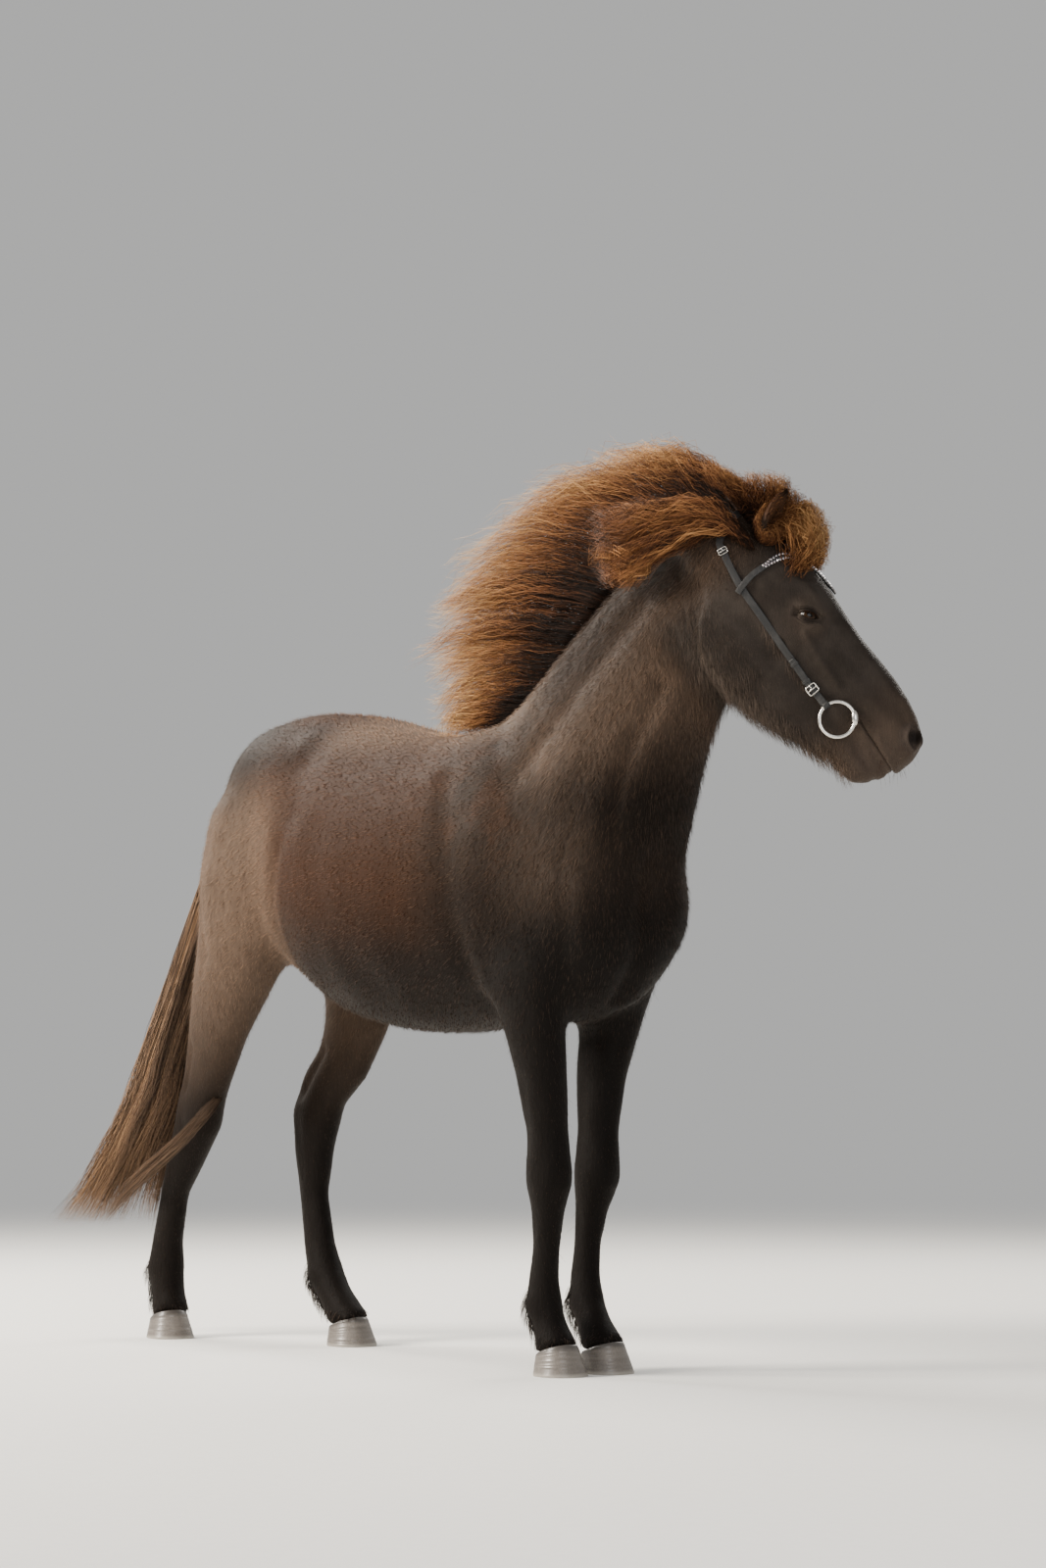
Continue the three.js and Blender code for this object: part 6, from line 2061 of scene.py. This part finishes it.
head_skin = to_head(skin_points)
normals_head = skin_normals @ np.array(head_turn.to_3x3())
in_ear = ear_share(head_skin)
for number, (side, way) in enumerate(SIDES):
    facing = np.array([0.66, way * 0.5, 0.56])
    near_ear = (np.abs(head_skin[:, 1] * way - 60) < 34) & (in_ear > 0.05) & (in_ear < 0.9)
    near_ear &= off_centre(head_skin, *(EAR_BASE + EAR_AXIS * 53)) < 66
    cup = np.flatnonzero(near_ear & (normals_head @ facing > 0.25))
    draw = np.random.default_rng(150 + number)
    chosen = cup[draw.integers(0, len(cup), 520)]
    roots = head_skin[chosen] - normals_head[chosen] * 0.8
    ways = unit(normals_head[chosen] * 0.5 + facing * 0.35 + np.array(EAR_AXIS) * [1, way, 1] * 0.9)
    lengths = draw.uniform(7, 17, len(chosen)) * (1 - 0.5 * in_ear[chosen])
    name, seed = f"ear_hair_{side}", 160 + number
    fine_hair.append(head_tufts(name, seed, roots, ways, lengths, (0, 0, 0.1), 0.42, (0.2, 0.62)))

bristly = (head_skin[:, 0] > 470) & (head_skin[:, 2] < -30) & (np.abs(lip_height(head_skin)) > 4)
WHISKERS = 170
chosen = np.random.default_rng(170).choice(np.flatnonzero(bristly), WHISKERS, replace=False)
lengths = np.random.default_rng(171).uniform(10, 26, WHISKERS)
ways = unit(normals_head[chosen] + [0.5, 0, -0.3])
fine_hair.append(head_tufts("whiskers", 172, head_skin[chosen], ways, lengths, (0.1, 0, -0.25), 0.2, (0.12, 0.3)))
wear(fine_hair, hair_finish)

# %% [markdown]
# ## Hooves
# Each hoof is bent up from a cylinder: its wall slopes from the coronet to a wider sole, longer at the toe than at
# the heel, with the fine growth rings of a real wall and a sole that is hollow underneath.

# %% Hooves
HOOF = {"length": 124, "width": 113, "top": 94, "top_width": 86, "toe": 67, "heel": 38, "lean": 13}
HOOVES = {
    # x, y and turn in degrees
    "front_left": (8, 56, 4),
    "front_right": (7, -68, -4),
    "hind_left": (-953, 83, 3),
    "hind_right": (-1419, -110, -14),
}
HOOF_RINGS, HOOF_SIDES = 56, 128
GROWTH_RINGS = 15


def hoof_place(h, turn, ripple):
    """A place on the wall in mm: h from the sole to the coronet, turn from the toe."""
    length, top, lean = HOOF["length"], HOOF["top"], HOOF["lean"]
    round_sole = 1 - float(ease(0.05, 0.0, np.float64(h))) * 0.025
    front = np.array([length / 2 - 1.5, 0.0]) * (1 - h) + np.array([top / 2 - lean, HOOF["toe"]]) * h
    back = np.array([-length / 2 + 3, 0.0]) * (1 - h) + np.array([-top / 2 - lean, HOOF["heel"]]) * h
    half = (HOOF["width"] / 2 - 1) * (1 - h) + (HOOF["top_width"] / 2 - 2) * h
    c, s = math.cos(turn), math.sin(turn)
    squared = (abs(c) ** 2.25 + abs(s) ** 2.25) ** (-1 / 2.25) * round_sole
    heel = 0.05 * max(0, -c) ** 3
    swell = ripple - 1.2 * float(ease(0.93, 1.0, np.float64(h)))
    x, z = (front + back) / 2 + (front - back) / 2 * c * squared * (1 - heel)
    return Vector((x + c * swell, s * (half * squared * (1 - heel * 2) + swell), z))


print("coronet to ground", HOOF["toe"], "mm at the toe,", HOOF["heel"], "mm at the heel")

# %% [markdown]
# A ring of many sides is cut into levels and set on that form. Growth rings ripple it, and the sole is drawn in
# and hollowed.


# %% Hoof walls
def hoof_wall(name, number, x, y, turned):
    draw = np.random.default_rng(180 + number)
    levels = np.sort(draw.uniform(0.04, 0.98, GROWTH_RINGS))
    depths = draw.uniform(0.12, 0.42, GROWTH_RINGS)
    standing = Matrix.Translation(spot(x, y, 0)) @ Matrix.Rotation(math.radians(turned), 4, "Z") @ Matrix.Scale(MM, 4)
    bm = cone(HOOF_SIDES, 1, 1, 1, unit=1)
    bmesh.ops.subdivide_edges(bm, edges=[edge for edge in bm.edges if rise_of(edge) > 0.5], cuts=HOOF_RINGS)
    for vert in bm.verts:
        h, turn = vert.co.z + 0.5, math.atan2(vert.co.y, vert.co.x)
        tilt = 0.05 * math.cos(turn)
        ripple = float(np.sum(depths * np.exp(-(((h + tilt - levels) / 0.018) ** 2))))
        vert.co = standing @ hoof_place(h, turn, ripple)
    sole = min(bm.faces, key=lambda f: f.calc_center_median().z)
    for depth_in, rise in ((0.009, 0.0), (0.003, 0.005), (0.02, 0.003)):
        bmesh.ops.inset_region(bm, faces=[sole], thickness=depth_in, depth=0, use_even_offset=True)
        bmesh.ops.translate(bm, vec=(0, 0, rise), verts=sole.verts)
    bmesh.ops.recalc_face_normals(bm, faces=bm.faces)
    return smooth_piece(f"hoof_wall_{name}", bm)


# %% [markdown]
# The horn has fine fibres from the coronet down and bands across, and is worn pale at the ground. Under the
# hair it is darker, a painted shade.


# %% Horn
def horn(name, x, y):
    finish = Finish(f"horn_{name}", 0.32, Specular_IOR_Level=0.5, Coat_Roughness=0.2)
    local = finish.moved(finish.place(), location=tuple(-v for v in spot(x, y, 0)))
    ahead, _, rise = finish.axes(local)
    fibres = finish.noise(finish.moved(finish.place(), scale=(620, 620, 30)), 1, 3, 0.6)
    bands = finish.noise(finish.moved(finish.place(), scale=(14, 14, 150)), 1, 2, 0.5)
    dust = finish.noise(finish.place(), 46, 5, 0.7)
    finish.set("Base Color", finish.layers(
        (0.085, 0.072, 0.062),
        (bands, (0.21, 0.185, 0.16)),
        (fibres.ramp(0.35, 0.75) * 0.5, (0.05, 0.042, 0.036)),
        ((rise + dust * 0.006).ramp(0.014, 0.004) * 0.6, (0.4, 0.37, 0.32)),  # worn pale at the ground
        # painted shade on the wall under the hair
        ((rise - ahead * 0.24 + dust * 0.008).ramp(0.046, 0.058) * 0.75, (0.03, 0.025, 0.022)),  # dark under the hair
        (dust.ramp(0.52, 0.72) * rise.ramp(0.05, 0.0) * 0.5, (0.33, 0.29, 0.24)),
    ))
    finish.set("Roughness", 0.28 + dust * 0.22 + fibres * 0.1)
    finish.set("Coat Weight", 0.5 - dust * 0.5)
    finish.set("Normal", finish.bump(fibres * 0.5 + bands * 0.5, 0.4, 0.0006))
    return finish


hoof_pieces = []
for number, (name, (x, y, turned)) in enumerate(HOOVES.items()):
    piece = hoof_wall(name, number, x, y, turned)
    wear([piece], horn(name, x, y))
    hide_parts(f"hoof_{name}")
    hoof_pieces.append(piece)
print("hooves", [len(p.data.polygons) for p in hoof_pieces])

# %% [markdown]
# The triangles of all the pieces that are shown are counted.

# %% Finish
triangles_now = sum(
    sum(len(polygon.vertices) - 2 for polygon in piece.data.polygons)
    for piece in bpy.data.objects
    if piece.type == "MESH" and piece.name != "floor" and piece.visible_get()
)
print("about", triangles_now, "triangles shown")
